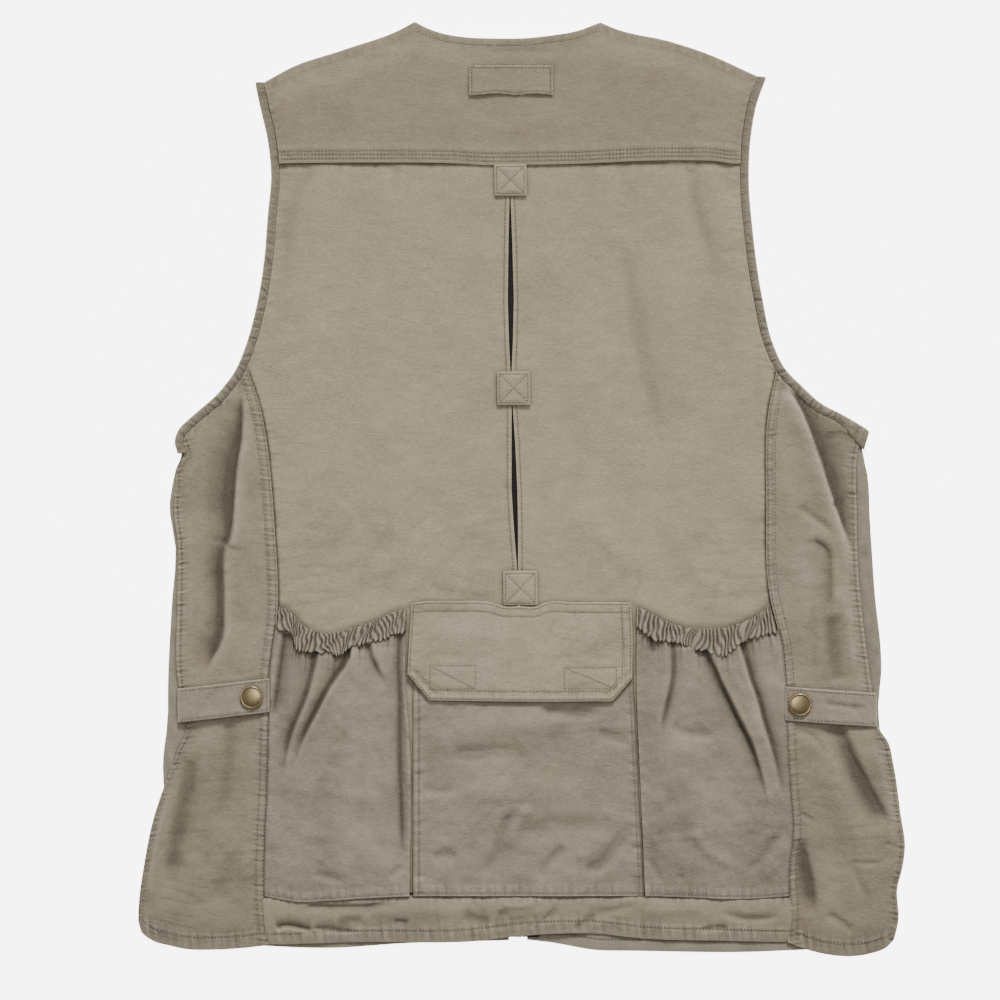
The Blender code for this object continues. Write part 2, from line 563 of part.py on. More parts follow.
def make_vent_mesh():
    top, foot = TABS[0].foot + MESH_TUCK, TABS[2].top - MESH_TUCK
    heights = np.linspace(top, foot, 9)
    middle = np.interp(-heights, [-row.y for row in VENT], [row.x for row in VENT])
    left = np.column_stack((middle - MESH_HALF_WIDTH, heights))
    right = np.column_stack((middle + MESH_HALF_WIDTH, heights))
    grid = patch(np.linspace(left[0], right[0], 4), np.linspace(left[-1], right[-1], 4),
                 left, right)
    sheet("vent_mesh", grid, np.full(grid.shape[:2], MESH_LEVEL), BLACK_MESH, MESH_CLOTH)


def bag_rise(across, down):
    """How far a gathered pocket stands off the back: nothing at its sewn edges, little at its
    mouth, and most at its middle."""
    sides = ease(np.minimum(across, 1.0 - across) / BAG_SIDE)
    mouth = MOUTH_RISE + (BAG_RISE - MOUTH_RISE) * ease(down / BAG_MOUTH)
    return sides * mouth * ease((1.0 - down) / BAG_FOOT)


def make_gathered_pockets():
    for name, lines, inner_points, top_points, foot_points, pleats in (
        ("left", LEFT, POCKET_LEFT_INNER, CASING_TOP_LEFT, CASING_FOOT_LEFT, PLEATS_LEFT),
        ("right", RIGHT, POCKET_RIGHT_INNER, CASING_TOP_RIGHT, CASING_FOOT_RIGHT,
         PLEATS_RIGHT),
    ):
        make_casing("casing_" + name, lines, top_points, foot_points)
        make_bag("pocket_" + name, lines, inner_points, foot_points, pleats)


def inside_seam(lines, line):
    """The line with any point that lies past the seam of the side panel brought back to it."""
    seam_x = np.interp(-line[:, 1], -lines.seam[:, 1], lines.seam[:, 0])
    limit = seam_x - lines.side * 2 * GAP
    x = np.maximum(line[:, 0], limit) if lines.side < 0 else np.minimum(line[:, 0], limit)
    return np.column_stack((x, line[:, 1]))


def make_casing(name, lines, top_points, foot_points):
    """The elastic casing: gathers are raised in its outer points over a plain inside, each a
    cosine wave, and they sway and swell a little along the casing."""
    count = GATHERS * POINTS_PER_GATHER + 1
    top = inside_seam(lines, smooth_line(top_points, count))
    foot = inside_seam(lines, moved(smooth_line(foot_points, count), y=2 * GAP))
    grid = patch(top, foot, np.linspace(top[0], foot[0], 4), np.linspace(top[-1], foot[-1], 4))
    across, down = shares(grid)
    inner = ON_BACK_LEVEL + bag_rise(across, 0.0)
    sway = GATHER_SWAY * np.sin(5.0 * np.pi * across + down)
    wave = 0.5 - 0.5 * np.cos(2.0 * np.pi * GATHERS * across + sway)
    uneven = 1.0 - GATHER_UNEVEN * (1.0 - np.sin(9.0 * np.pi * across))
    outer = inner + CLOTH + GATHER_RISE * wave * uneven
    raised_wall(name, grid, inner, outer, CANVAS)


def make_bag(name, lines, inner_points, foot_points, pleats):
    columns, rows = BAG_COLUMNS, BAG_ROWS
    top = inside_seam(lines, smooth_line(foot_points, columns))
    outer_end, inner_end = (top[0], top[-1]) if lines.side < 0 else (top[-1], top[0])
    at_seam = stretch(lines.seam, outer_end[1], POCKET_FOOT_Y, rows)
    at_seam = moved(at_seam, x=-lines.side * 2 * GAP)
    at_inner = stretch(smooth_line(inner_points, 60), inner_end[1], POCKET_FOOT_Y, rows)
    left, right = (at_seam, at_inner) if lines.side < 0 else (at_inner, at_seam)
    top[0], top[-1] = left[0], right[0]
    foot = np.linspace(left[-1], right[-1], columns)
    grid = patch(top, foot, left, right)
    across, down = shares(grid)
    x, y = grid[..., 0], grid[..., 1]
    full = bag_rise(across, down)
    folds = relief(pleats, x, y) * ease(np.minimum(across, 1.0 - across) / BAG_PLEAT)
    level = ON_BACK_LEVEL + np.clip(full + folds, 0.0, None)
    sheet(name, grid, level, CANVAS, POCKET_WALL)


def centre_pocket_rise(x, y):
    """How far the centre pocket stands off the back: level edges and low cross folds."""
    left, right = POCKET_CENTRE_LEFT[0], POCKET_CENTRE_RIGHT[1]
    inside = (
        ease((x - left[0]) / CENTRE_SLOPE)
        * ease((right[0] - x) / CENTRE_SLOPE)
        * ease((y - POCKET_FOOT_Y) / CENTRE_SLOPE)
        * ease((left[1] - y) / CENTRE_SLOPE)
    )
    return inside * np.clip(CENTRE_RISE + relief(CENTRE_POCKET_FOLDS, x, y), 0.0, None)


def make_centre_pocket():
    left = smooth_line(POCKET_CENTRE_LEFT, 14)
    right = smooth_line(POCKET_CENTRE_RIGHT, 14)
    right[:, 1] = left[:, 1]
    grid = patch(np.linspace(left[0], right[0], 13), np.linspace(left[-1], right[-1], 13),
                 left, right)
    level = ON_BACK_LEVEL + centre_pocket_rise(grid[..., 0], grid[..., 1])
    sheet("pocket_centre", grid, level, CANVAS)


def make_flap():
    """The flap lies on the centre pocket and hangs a little past it."""
    top = joined(
        smooth_line(FLAP_TOP[:3], 5),
        np.array(FLAP_TOP[2:5]),
        smooth_line(FLAP_TOP[4:6], 2),
        smooth_line(FLAP_TOP[5:], 5),
    )
    foot = joined(
        np.array(FLAP_FOOT[:2]),
        smooth_line(FLAP_FOOT[1:4], len(top) - 2),
        np.array(FLAP_FOOT[3:]),
    )
    left = smooth_line(FLAP_LEFT, 6)
    right = smooth_line(FLAP_RIGHT, 6)
    grid = patch(top, foot, left, right)
    x, y = grid[..., 0], grid[..., 1]
    level = ON_BACK_LEVEL + centre_pocket_rise(x, y) + CLOTH + 2 * GAP
    sheet("pocket_flap", grid, level, CANVAS, DOUBLE_CLOTH)


def rectangle(tab, columns, rows):
    left = np.linspace((tab.left, tab.top), (tab.left, tab.foot), rows)
    right = np.linspace((tab.right, tab.top), (tab.right, tab.foot), rows)
    return patch(np.linspace(left[0], right[0], columns),
                 np.linspace(left[-1], right[-1], columns), left, right)


def make_tabs():
    for tab in TABS:
        grid = rectangle(tab, 5, 5)
        across, down = shares(grid)
        crown = 0.5 * np.sin(np.pi * across) * np.sin(np.pi * down)
        sheet(tab.name, grid, ON_BACK_LEVEL + crown, CANVAS, DOUBLE_CLOTH)


def make_neck_patch():
    grid = rectangle(NECK_PATCH, 9, 4)
    x, y = grid[..., 0], grid[..., 1]
    sheet("neck_patch", grid, back_level(x, y) + DOUBLE_CLOTH + 1.6 * GAP, CANVAS)


def make_straps():
    shares_along = [row.share for row in STRAP_HEIGHTS]
    levels = [row.level for row in STRAP_HEIGHTS]
    for strap in STRAPS:
        outer = np.array(((strap.outer_x, strap.outer_top),
                          (strap.outer_x, strap.outer_top - STRAP_WIDTH)))
        inner = np.array(((strap.inner_x, strap.inner_top),
                          (strap.inner_x, strap.inner_top - STRAP_WIDTH)))
        left, right = (outer, inner) if strap.name == "left" else (inner, outer)
        grid = patch(np.linspace(left[0], right[0], 11), np.linspace(left[1], right[1], 11),
                     np.linspace(left[0], left[1], 4), np.linspace(right[0], right[1], 4))
        from_outer = (grid[..., 0] - strap.outer_x) / (strap.inner_x - strap.outer_x)
        level = np.interp(from_outer, shares_along, levels)
        sheet("strap_" + strap.name, grid, level, CANVAS, DOUBLE_CLOTH)
        make_snap(strap, levels)


def make_snap(strap, levels):
    """The snap's cap: a shallow dome with a rolled rim, turned round its own axis."""
    seat = max(levels) + DOUBLE_CLOTH + GAP
    radius, height = SNAP_RADIUS, SNAP_HEIGHT
    dome = [(radius * np.sin(turn), height - SNAP_DOME * (1.0 - np.cos(turn)))
            for turn in np.linspace(0.0, np.pi / 2, 7)]
    rim = [(radius, 0.35 * height), (0.93 * radius, 0.18 * height), (0.89 * radius, 0.0),
           (0.0, 0.0)]
    mesh = bpy.data.meshes.new("snap_" + strap.name)
    profile = [(across * MM, 0.0, up * MM) for across, up in dome + rim]
    steps = range(len(profile) - 1)
    mesh.from_pydata(profile, [(step, step + 1) for step in steps], [])
    piece = add_object("snap_" + strap.name, mesh, BRASS)
    piece.location = (strap.snap_x * MM, strap.snap_y * MM, seat * MM)
    turn = piece.modifiers.new("Turn", "SCREW")
    turn.steps = turn.render_steps = 28
    turn.use_merge_vertices = True
    turn.merge_threshold = 0.00001
    turn.use_smooth_shade = True


def make_bindings():
    """A folded strip round each armhole: a low crown across, flat along."""
    for name, lines in (("armhole_binding_left", LEFT), ("armhole_binding_right", RIGHT)):
        inner = joined(lines.yoke, lines.back, lines.side_top, lines.corner)
        across = [offset_line(inner, lines.side * (GAP + away))
                  for away in np.linspace(GAP, BINDING_WIDTH, 4)]
        grid = np.stack(across[::lines.side], axis=1)
        crown = np.array((0.0, 0.3, 0.3, 0.0))
        level = RIM_LEVEL + np.broadcast_to(crown, grid.shape[:2])
        sheet(name, grid, level, BINDING_CLOTH, DOUBLE_CLOTH)


def make_fronts():
    """The fronts lie flat beneath: neck slope, shoulder, armhole, side, hem and zip edge."""
    for name, side, shoulder, armhole, edge, hem in (
        ("front_left", -1, SHOULDER_LEFT[:0:-1], ARMHOLE_LEFT, FRONT_EDGE_LEFT,
         FRONT_HEM_LEFT),
        ("front_right", 1, SHOULDER_RIGHT[:-1], ARMHOLE_RIGHT, FRONT_EDGE_RIGHT,
         FRONT_HEM_RIGHT[::-1]),
    ):
        arm = offset_line(smooth_line(armhole, 90), -side * FRONT_ARMHOLE_INSET)
        below_shoulder = arm[:, 1] < armhole[0][1] - FRONT_SHOULDER_DROP
        arm = arm[below_shoulder & (arm[:, 1] > edge[0][1] + FRONT_NECK_DROP)]
        split = ZIP_X + side * FRONT_SPLIT / 2
        outline = np.concatenate((
            moved(smooth_line(shoulder, 6), y=-FRONT_NECK_DROP),
            arm[::6],
            smooth_line(edge, 22),
            smooth_line(hem, 10)[1:],
            ((split, hem[-1][1] + GAP), (split, ZIP_TOP_Y)),
        ))
        flat_piece(name, outline, FRONT_LEVEL, CLOTH, CANVAS)


def make_zip():
    """The closed zip: tapes lie on the fronts' edges, and the chain fills the split."""
    middle_y = (ZIP_TOP_Y + ZIP_FOOT_Y) / 2
    length = ZIP_TOP_Y - ZIP_FOOT_Y
    tape_z = RIM_LEVEL + TAPE_THICK / 2
    shift = CHAIN_WIDTH / 2 + GAP + TAPE_WIDTH / 2
    box_piece("zip_tape_left", (ZIP_X - shift, middle_y, tape_z),
              (TAPE_WIDTH, length, TAPE_THICK), ZIP_CLOTH)
    box_piece("zip_tape_right", (ZIP_X + shift, middle_y, tape_z),
              (TAPE_WIDTH, length, TAPE_THICK), ZIP_CLOTH)
    chain_top = ZIP_TOP_Y - SLIDER_LENGTH - GAP
    chain_foot = ZIP_FOOT_Y + END_BOX_LENGTH + GAP
    box_piece("zip_chain", (ZIP_X, (chain_top + chain_foot) / 2, tape_z),
              (CHAIN_WIDTH, chain_top - chain_foot, CHAIN_THICK), ZIP_METAL)
    box_piece("zip_end_box", (ZIP_X, ZIP_FOOT_Y + END_BOX_LENGTH / 2, tape_z),
              (CHAIN_WIDTH, END_BOX_LENGTH, CHAIN_THICK), ZIP_METAL)
    box_piece("zip_slider", (ZIP_X, ZIP_TOP_Y - SLIDER_LENGTH / 2, tape_z),
              (CHAIN_WIDTH, SLIDER_LENGTH, CHAIN_THICK), ZIP_METAL)


clear_scene()
VEST = make_collection("utility_vest")
RIM = rim_of_back()
LEFT = side_lines(-1, ARMHOLE_LEFT, 1.9, ARMHOLE_TURN_LEFT, BACK_SEAM_LEFT, SIDE_EDGE_LEFT)
RIGHT = side_lines(1, ARMHOLE_RIGHT, 0.9, SIDE_EDGE_RIGHT[0][1], BACK_SEAM_RIGHT,
                   SIDE_EDGE_RIGHT)
make_fronts()
make_zip()
make_vent_mesh()
make_backs()
make_side_panels()
make_hem_band()
make_yoke()
make_bindings()
make_gathered_pockets()
make_centre_pocket()
make_flap()
make_tabs()
make_neck_patch()
make_straps()
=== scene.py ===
# %% [markdown]
# # A canvas utility vest, laid flat with its back up
#
# The real thing is a sleeveless cotton canvas vest with many pockets. It lies on its two
# fronts, so its back is what shows: a yoke over the shoulders, two back panels that meet at a
# slit over black mesh, and a side panel on either side. On them lie a cargo pocket with a flap,
# two pockets drawn in by elastic, boxed tabs, a blank patch and two snapped straps.
#
# One could drape each panel by simulation. Cloth that has been pressed flat by hand barely
# moves, though, and its creases are known from the photo, so here each panel is a surface: a
# grid between its four cut edges, lifted by a height that adds up broad form, creases, seams
# and puckers. The height is worked out for all points of the grid at once.

# %% Load the frame
from collections import namedtuple

import bpy
import numpy as np
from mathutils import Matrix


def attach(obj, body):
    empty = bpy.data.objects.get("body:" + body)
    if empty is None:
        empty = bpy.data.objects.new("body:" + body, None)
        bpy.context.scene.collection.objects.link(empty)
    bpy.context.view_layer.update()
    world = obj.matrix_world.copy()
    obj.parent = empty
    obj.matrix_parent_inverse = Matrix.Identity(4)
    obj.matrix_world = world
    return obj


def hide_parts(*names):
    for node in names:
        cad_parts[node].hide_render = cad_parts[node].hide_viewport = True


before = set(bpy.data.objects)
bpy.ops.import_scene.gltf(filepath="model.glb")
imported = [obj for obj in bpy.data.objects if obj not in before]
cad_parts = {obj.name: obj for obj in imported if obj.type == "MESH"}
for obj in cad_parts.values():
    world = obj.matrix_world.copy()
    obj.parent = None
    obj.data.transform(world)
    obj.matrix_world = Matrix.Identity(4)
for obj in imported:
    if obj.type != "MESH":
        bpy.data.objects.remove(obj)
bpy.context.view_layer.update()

# %% [markdown]
# The photo was taken from straight above, from far enough away that nothing leans outwards. A
# long lens does the same. Its height follows from the width that the picture shows at the
# level of the cloth, and its centre from where the vest lies in the picture.

# %% Camera, straight down
MM = 0.001
PHOTO_WIDTH = 780.0
PHOTO_CENTRE = (-16.8, -8.6)
CLOTH_TOP = 5.8
LENS, SENSOR = 100.0, 36.0

camera_data = bpy.data.cameras.new("camera")
camera_data.lens = LENS
camera_data.sensor_width = SENSOR
camera_height = CLOTH_TOP + PHOTO_WIDTH * LENS / SENSOR
camera = bpy.data.objects.new("camera", camera_data)
camera.location = (PHOTO_CENTRE[0] * MM, PHOTO_CENTRE[1] * MM, camera_height * MM)
bpy.context.scene.collection.objects.link(camera)
bpy.context.scene.camera = camera
print("camera at", round(camera_height), "mm")

# %% [markdown]
# Product photos of clothes are lit by a large soft source high beyond the neck: every seam that
# faces the hem has a thin shadow, and the folds that face outwards are dark. A sun with a wide
# angle gives such light with no fall-off. Two narrow boxes at the sides light little cloth, but
# each snap mirrors one as a bright band. A pale sky fills the rest.

# %% Light and floor
Box = namedtuple("Box", "name place turn size power")
SOFT_BOXES = (
    Box("box_above", (-0.01, 0.03, 1.0), (0.0, 0.0), (0.5, 0.5), 3.1),
    Box("box_left", (-1.15, 0.15, 0.9), (0.0, -52.0), (0.22, 1.3), 1.6),
    Box("box_right", (1.15, 0.15, 0.9), (0.0, 52.0), (0.22, 1.3), 1.6),
)
SUN_POWER, SUN_WIDTH, SUN_TURN = 3.3, 14.0, (-58.0, 0.0, -9.0)
SKY_COLOUR = (0.95, 0.97, 1.0)
SKY_STRENGTH = 0.22
FLOOR_COLOUR = (0.95, 0.95, 0.95)
FLOOR_GLOW = 6.0
FLOOR_SIZE = 6.0

for box in SOFT_BOXES:
    data = bpy.data.lights.new(box.name, "AREA")
    data.shape = "RECTANGLE"
    data.size, data.size_y = box.size
    data.energy = box.power
    lamp = bpy.data.objects.new(box.name, data)
    lamp.location = box.place
    lamp.rotation_euler = (np.radians(box.turn[0]), np.radians(box.turn[1]), 0.0)
    bpy.context.scene.collection.objects.link(lamp)

sun_data = bpy.data.lights.new("sun", "SUN")
sun_data.energy = SUN_POWER
sun_data.angle = np.radians(SUN_WIDTH)
sun = bpy.data.objects.new("sun", sun_data)
sun.rotation_euler = [np.radians(turn) for turn in SUN_TURN]
bpy.context.scene.collection.objects.link(sun)

world = bpy.data.worlds.new("sky")
world.use_nodes = True
world.node_tree.nodes["Background"].inputs["Color"].default_value = (*SKY_COLOUR, 1.0)
world.node_tree.nodes["Background"].inputs["Strength"].default_value = SKY_STRENGTH
bpy.context.scene.world = world

floor_mesh = bpy.data.meshes.new("floor")
reach = FLOOR_SIZE / 2
corners = [(-reach, -reach, 0.0), (reach, -reach, 0.0), (reach, reach, 0.0), (-reach, reach, 0.0)]
floor_mesh.from_pydata(corners, [], [(0, 1, 2, 3)])
floor = bpy.data.objects.new("floor", floor_mesh)
floor.location.z = -0.0002
floor_material = bpy.data.materials.new("floor")
floor_material.use_nodes = True
floor_shader = floor_material.node_tree.nodes["Principled BSDF"]
floor_shader.inputs["Base Color"].default_value = (*FLOOR_COLOUR, 1.0)
floor_shader.inputs["Roughness"].default_value = 0.9
floor_shader.inputs["Emission Color"].default_value = (1.0, 1.0, 1.0, 1.0)
floor_shader.inputs["Emission Strength"].default_value = FLOOR_GLOW
floor_mesh.materials.append(floor_material)
bpy.context.scene.collection.objects.link(floor)
print(len(SOFT_BOXES), "soft boxes")

# %% [markdown]
# ## The cut of the vest
#
# A maker starts from the outlines. Each edge here is a short table of points in millimetres,
# read down the garment or from left to right, and a smooth line runs through them. The levels
# say how the layers lie on each other: fronts on the floor, mesh, back, then what is sewn on.

# %% Thickness and levels of the layers, in millimetres
CLOTH = 1.2
DOUBLE_CLOTH = 1.9
MESH_CLOTH = 1.0
GAP = 0.3
HALF_GAP = 0.15
RIM_LEVEL = CLOTH + GAP
MESH_LEVEL = 3.3
BACK_LEVEL = MESH_LEVEL + MESH_CLOTH + GAP
ON_BACK_LEVEL = BACK_LEVEL + CLOTH + GAP
LOWEST = RIM_LEVEL - 0.2
LAP_RISE = CLOTH + GAP
LAP_TUCK = 3.0
RIM_ROLL = 26.0
FOLD_REACH = 14.0
BINDING_WIDTH = 7.0
STRAP_WIDTH = 26.5
ZIP_X = -2.7
ZIP_CLEAR = 26.0
ZIP_SLOPE = 40.0
YOKE_SEAM_Y = 254.0
HEM_SEAM_Y = -316.5

# %% [markdown]
# Neighbouring panels share a line, so each line is written once and the panels on both sides
# read it. Left and right differ: the vest lies a little askew, and its cloth has shrunk.

# %% Edges of the panels, in millimetres
NECK = (
    (-83.5, 365), (-72.9, 359.6), (-59.7, 355.3), (-43.3, 352.6), (-20.7, 351.6), (1.2, 351.8),
    (23.8, 354.1), (41.7, 357.2), (61.4, 364.4),
)
SHOULDER_LEFT = ((-207.9, 314.3), (-178.2, 329.9), (-140.8, 342.4), (-93.2, 359.6), (-83.5, 365))
SHOULDER_RIGHT = ((61.4, 364.4), (72.9, 359.6), (117.4, 349.1), (142.4, 340.9), (190.7, 319))
ARMHOLE_LEFT = (
    (-207.9, 314.3), (-204.8, 299.5), (-198.5, 271.4), (-196, 243), (-198.5, 215.3),
    (-201.6, 177.8), (-207.9, 140.4), (-215.7, 112.3), (-223.5, 93.6), (-237.5, 74.9),
    (-258.6, 56.2), (-268.4, 46.2), (-271.3, 37.5), (-268.7, 26.5),
)
ARMHOLE_RIGHT = (
    (190.7, 319), (184.5, 301.9), (179.8, 276.9), (178, 240), (181, 202), (188.4, 149.8),
    (197, 113.1), (205.5, 95.2), (219.6, 80.3), (234.4, 67.1), (251.6, 58.1), (269.5, 47.3),
)
ARMHOLE_TURN_LEFT = 38.9
YOKE_SEAM = (
    (-200, 253.6), (-110, 254.4), (-60, 254), (-21, 252.2), (8, 252.6), (50, 253.6), (92, 255.6),
    (125, 256.2), (150, 255.6), (168, 253.8), (182, 254),
)
BACK_SEAM_LEFT = (
    (-214.1, 95.2), (-210.2, 84.2), (-204.8, 68.6), (-198.5, 37.4), (-194.6, 1.6), (-192.3, -31.2),
    (-189.9, -92), (-195.8, -148), (-195.8, -174), (-197, -231.7), (-198.9, -273),
    (-199.3, -317.5), (-196.6, -356),
)
BACK_SEAM_RIGHT = (
    (194.6, 92), (192.7, 63.2), (190.7, -8.6), (193.4, -83.5), (202.1, -120.1), (204.8, -148.2),
    (205.8, -182.5), (208.3, -232.4), (210.6, -260.5), (207.6, -301.9), (208.2, -325),
    (207.6, -354),
)
SIDE_EDGE_LEFT = (
    (-261.2, 27.6), (-267.6, 20), (-270.6, 0), (-271.6, -10), (-268.6, -45), (-269, -90),
    (-268.4, -150), (-263.5, -176), (-261.5, -186), (-268.2, -203), (-278.1, -229), (-288.2, -260),
    (-294.5, -291), (-299.1, -325), (-299.6, -337),
)
SIDE_EDGE_RIGHT = (
    (265.6, 40.6), (263, 30), (262, -20), (263, -60), (267, -105), (272.6, -148), (276, -172),
    (279.4, -187), (286.6, -198), (290.6, -215), (296, -252.7), (299.6, -281), (296.8, -299.5),
    (293.8, -311), (294.5, -337), (291, -352),
)
SIDE_HEM_LEFT = (
    (-299.6, -337), (-296.6, -346.5), (-287.4, -353.3), (-275, -356.8), (-262.5, -359.4),
    (-237.5, -359.8), (-215, -358.4), (-196.6, -356),
)
SIDE_HEM_RIGHT = (
    (207.6, -354), (222, -359.5), (236.7, -363.3), (249.2, -364.9), (261.7, -364.9),
    (274.2, -362.6), (284.5, -358.6), (291, -352),
)
BACK_HEM = (
    (-196.6, -356), (-120, -354), (-34, -352.9), (-9, -349.9), (58, -347.3), (92.4, -351),
    (150, -352.8), (207.6, -354),
)
FRONT_EDGE_LEFT = (
    (-262, 31), (-268.6, 20), (-273.4, 0), (-275, -9.4), (-270.4, -46.8), (-273.4, -90),
    (-276.5, -159), (-276.5, -178), (-280.4, -215.3), (-279, -240), (-272, -300), (-262, -345),
)
FRONT_EDGE_RIGHT = (
    (261.5, 36), (265.8, 28.1), (268.8, 18.7), (272.6, -28.1), (276.5, -84.2), (281.2, -131),
    (281.2, -146), (278.9, -165), (279.8, -184), (283, -230), (286, -280), (280, -345),
)
FRONT_HEM_LEFT = (
    (-262, -345), (-230, -354), (-187.6, -357.8), (-150.2, -358.8), (-87.8, -354.9), (-40, -353.6),
    (-10, -353),
)
FRONT_HEM_RIGHT = (
    (5, -352.6), (26.1, -354.9), (55.8, -360.2), (91.7, -361.1), (199.3, -361.1), (240, -358),
    (280, -345),
)
CASING_TOP_LEFT = (
    (-189, -92.4), (-182.1, -95.2), (-168.1, -108.2), (-147.8, -112.3), (-129.9, -108.4),
    (-110.4, -101.4), (-102.6, -97.5), (-89.9, -93.6),
)
CASING_TOP_RIGHT = (
    (89.6, -91.3), (101, -97.5), (119.7, -106.1), (146.3, -109.2), (159.5, -108.4),
    (171.2, -104.5), (182.1, -99.8), (193.4, -91),
)
Vent = namedtuple("Vent", "y x half_open")
VENT = (Vent(262, -9, 0.15), Vent(228, -9, 0.3), Vent(190, -8.7, 1.5),
        Vent(147, -8.4, 2.3), Vent(115, -8.3, 1.5), Vent(90, -8.2, 0.3),
        Vent(66, -7.4, 0.3), Vent(35, -6.4, 1.4), Vent(0, -5.6, 2.2),
        Vent(-30, -4.4, 1.6), Vent(-62, -3.1, 0.3), Vent(-90, -2, 0.15),
        Vent(-317, 0, 0.15))
print(sum(len(edge) for edge in (NECK, ARMHOLE_LEFT, ARMHOLE_RIGHT)), "points round the holes")

# %% [markdown]
# A few rules turn such a table into a cutting line: it is made smooth, moved sideways by a seam
# or a binding, cut to a stretch, and read at chosen shares of its length. Two shapes recur in
# all relief below: a rise that starts and ends level, and a bell.

# %% Lines: smooth, moved sideways, cut to a stretch, and read at even shares
def ease(share):
    """Rises smoothly from 0 to 1 as the share goes from 0 to 1: three squares less two cubes."""
    share = np.clip(share, 0.0, 1.0)
    return share * share * (3.0 - 2.0 * share)


def bell(distance, width):
    """Falls from 1 at no distance to about a third at the width: e to the minus square."""
    return np.exp(-((distance / width) ** 2))


def lengths(line):
    """How far along the line each of its points is."""
    return np.concatenate(([0.0], np.cumsum(np.hypot(*np.diff(line, axis=0).T))))


def smooth_line(points, count=160):
    """Evenly spaced points along a smooth line through the given ones: each span is a cubic
    whose slope at a point runs parallel to the line between that point's neighbours."""
    points = np.array(points, dtype=float)
    along = lengths(points)
    slope = np.gradient(points, along, axis=0)
    wanted = np.linspace(0.0, along[-1], count)
    span = np.clip(np.searchsorted(along, wanted, side="right") - 1, 0, len(along) - 2)
    length = (along[span + 1] - along[span])[:, None]
    share = (wanted[:, None] - along[span][:, None]) / length
    return (
        points[span] * (2 * share**3 - 3 * share**2 + 1)
        + slope[span] * length * (share**3 - 2 * share**2 + share)
        + points[span + 1] * (3 * share**2 - 2 * share**3)
        + slope[span + 1] * length * (share**3 - share**2)
    )


def read_line(line, shares):
    """The points at the given shares of a line's length."""
    along = lengths(line)
    wanted = np.asarray(shares) * along[-1]
    return np.column_stack([np.interp(wanted, along, line[:, axis]) for axis in (0, 1)])


def joined(*strokes):
    """One line from several that meet end to end, with each meeting point kept once."""
    return np.concatenate([strokes[0]] + [stroke[1:] for stroke in strokes[1:]])


def offset_line(line, distance):
    """The line moved sideways, to the left hand of its direction, by the distance."""
    along = np.gradient(line, axis=0)
    along /= np.hypot(*along.T)[:, None]
    return line + np.asarray(distance)[..., None] * np.column_stack((-along[:, 1], along[:, 0]))


def stretch(line, top, foot, count=120):
    """The part of a line that runs down the garment between two heights."""
    heights = np.linspace(top, foot, count)
    return np.column_stack((np.interp(-heights, -line[:, 1], line[:, 0]), heights))


def moved(line, x=0.0, y=0.0):
    """The line shifted across and up the garment."""
    return np.asarray(line, dtype=float) + np.array((x, y))


def side_name(side):
    """The word for a side of the garment, -1 or 1, which is also a word for an edge of a grid."""
    return "left" if side < 0 else "right"


def in_order(side, outer, inner):
    """The outer and the inner line of a piece on one side, as its left and its right one."""
    return (outer, inner) if side < 0 else (inner, outer)


# %% [markdown]
# A panel is a patch between four edges, as a tailor might pin a piece of cloth along its
# outline and let the middle follow. The rule is the one for a Coons patch: the blend from side
# to side, plus the blend from end to end, less the blend of the four corners. Its stations lie
# a step apart, with two more close to each edge, so that the edge can be rounded.

# %% Patches between four edges
CLOSE_TO_EDGE = (0.5, 1.4)


def stations(length, *stretches):
    """Shares from 0 to 1 along an edge. Each stretch says how far it goes and its step."""
    first, start = CLOSE_TO_EDGE
    marks = [0.0, first, start]
    for end, step in stretches:
        end = min(end, length - CLOSE_TO_EDGE[1])
        count = max(1, round((end - start) / step))
        marks.extend(np.linspace(start, end, count + 1)[1:])
        start = end
    return np.array(marks + [length - first, length]) / length


def close_ends(length, step, zone=9.0, close=0.9):
    """Stations that lie closer within a zone at either end, where the stitched rows run."""
    return stations(length, (zone, close), (length - zone, step), (length, close))


def patch(top, foot, left, right, across, down):
    """Grid between four edges, rows from top to foot and columns from left to right."""
    top, foot = read_line(top, across), read_line(foot, across)
    left, right = read_line(left, down), read_line(right, down)
    across, down = across[None, :, None], down[:, None, None]
    between_sides = left[:, None] * (1 - across) + right[:, None] * across
    between_ends = top[None] * (1 - down) + foot[None] * down
    corners = (
        (top[0] * (1 - across) + top[-1] * across) * (1 - down)
        + (foot[0] * (1 - across) + foot[-1] * across) * down
    )
    return between_sides + between_ends - corners


def straight_patch(left, right, across, down):
    """Grid between two edges whose ends are joined by straight cuts."""
    top, foot = np.stack((left[0], right[0])), np.stack((left[-1], right[-1]))
    return patch(top, foot, left, right, across, down)


Reach = namedtuple("Reach", "left right top foot across down")


def reach_in(grid):
    """How far each point lies from the four edges, measured along the grid's own lines, and
    where it is across and down the garment."""
    sideways = np.hypot(*np.moveaxis(np.diff(grid, axis=1), 2, 0))
    downwards = np.hypot(*np.moveaxis(np.diff(grid, axis=0), 2, 0))
    left = np.pad(np.cumsum(sideways, axis=1), ((0, 0), (1, 0)))
    top = np.pad(np.cumsum(downwards, axis=0), ((1, 0), (0, 0)))
    return Reach(left, left[:, -1:] - left, top, top[-1:] - top, grid[..., 0], -grid[..., 1])


def laid_out(grid):
    """A grid's x, its y, and how far in its points lie."""
    return grid[..., 0], grid[..., 1], reach_in(grid)


def inset_of(reach):
    """How far in each point is from the nearest of the four edges."""
    return np.minimum(np.minimum(reach.left, reach.right), np.minimum(reach.top, reach.foot))


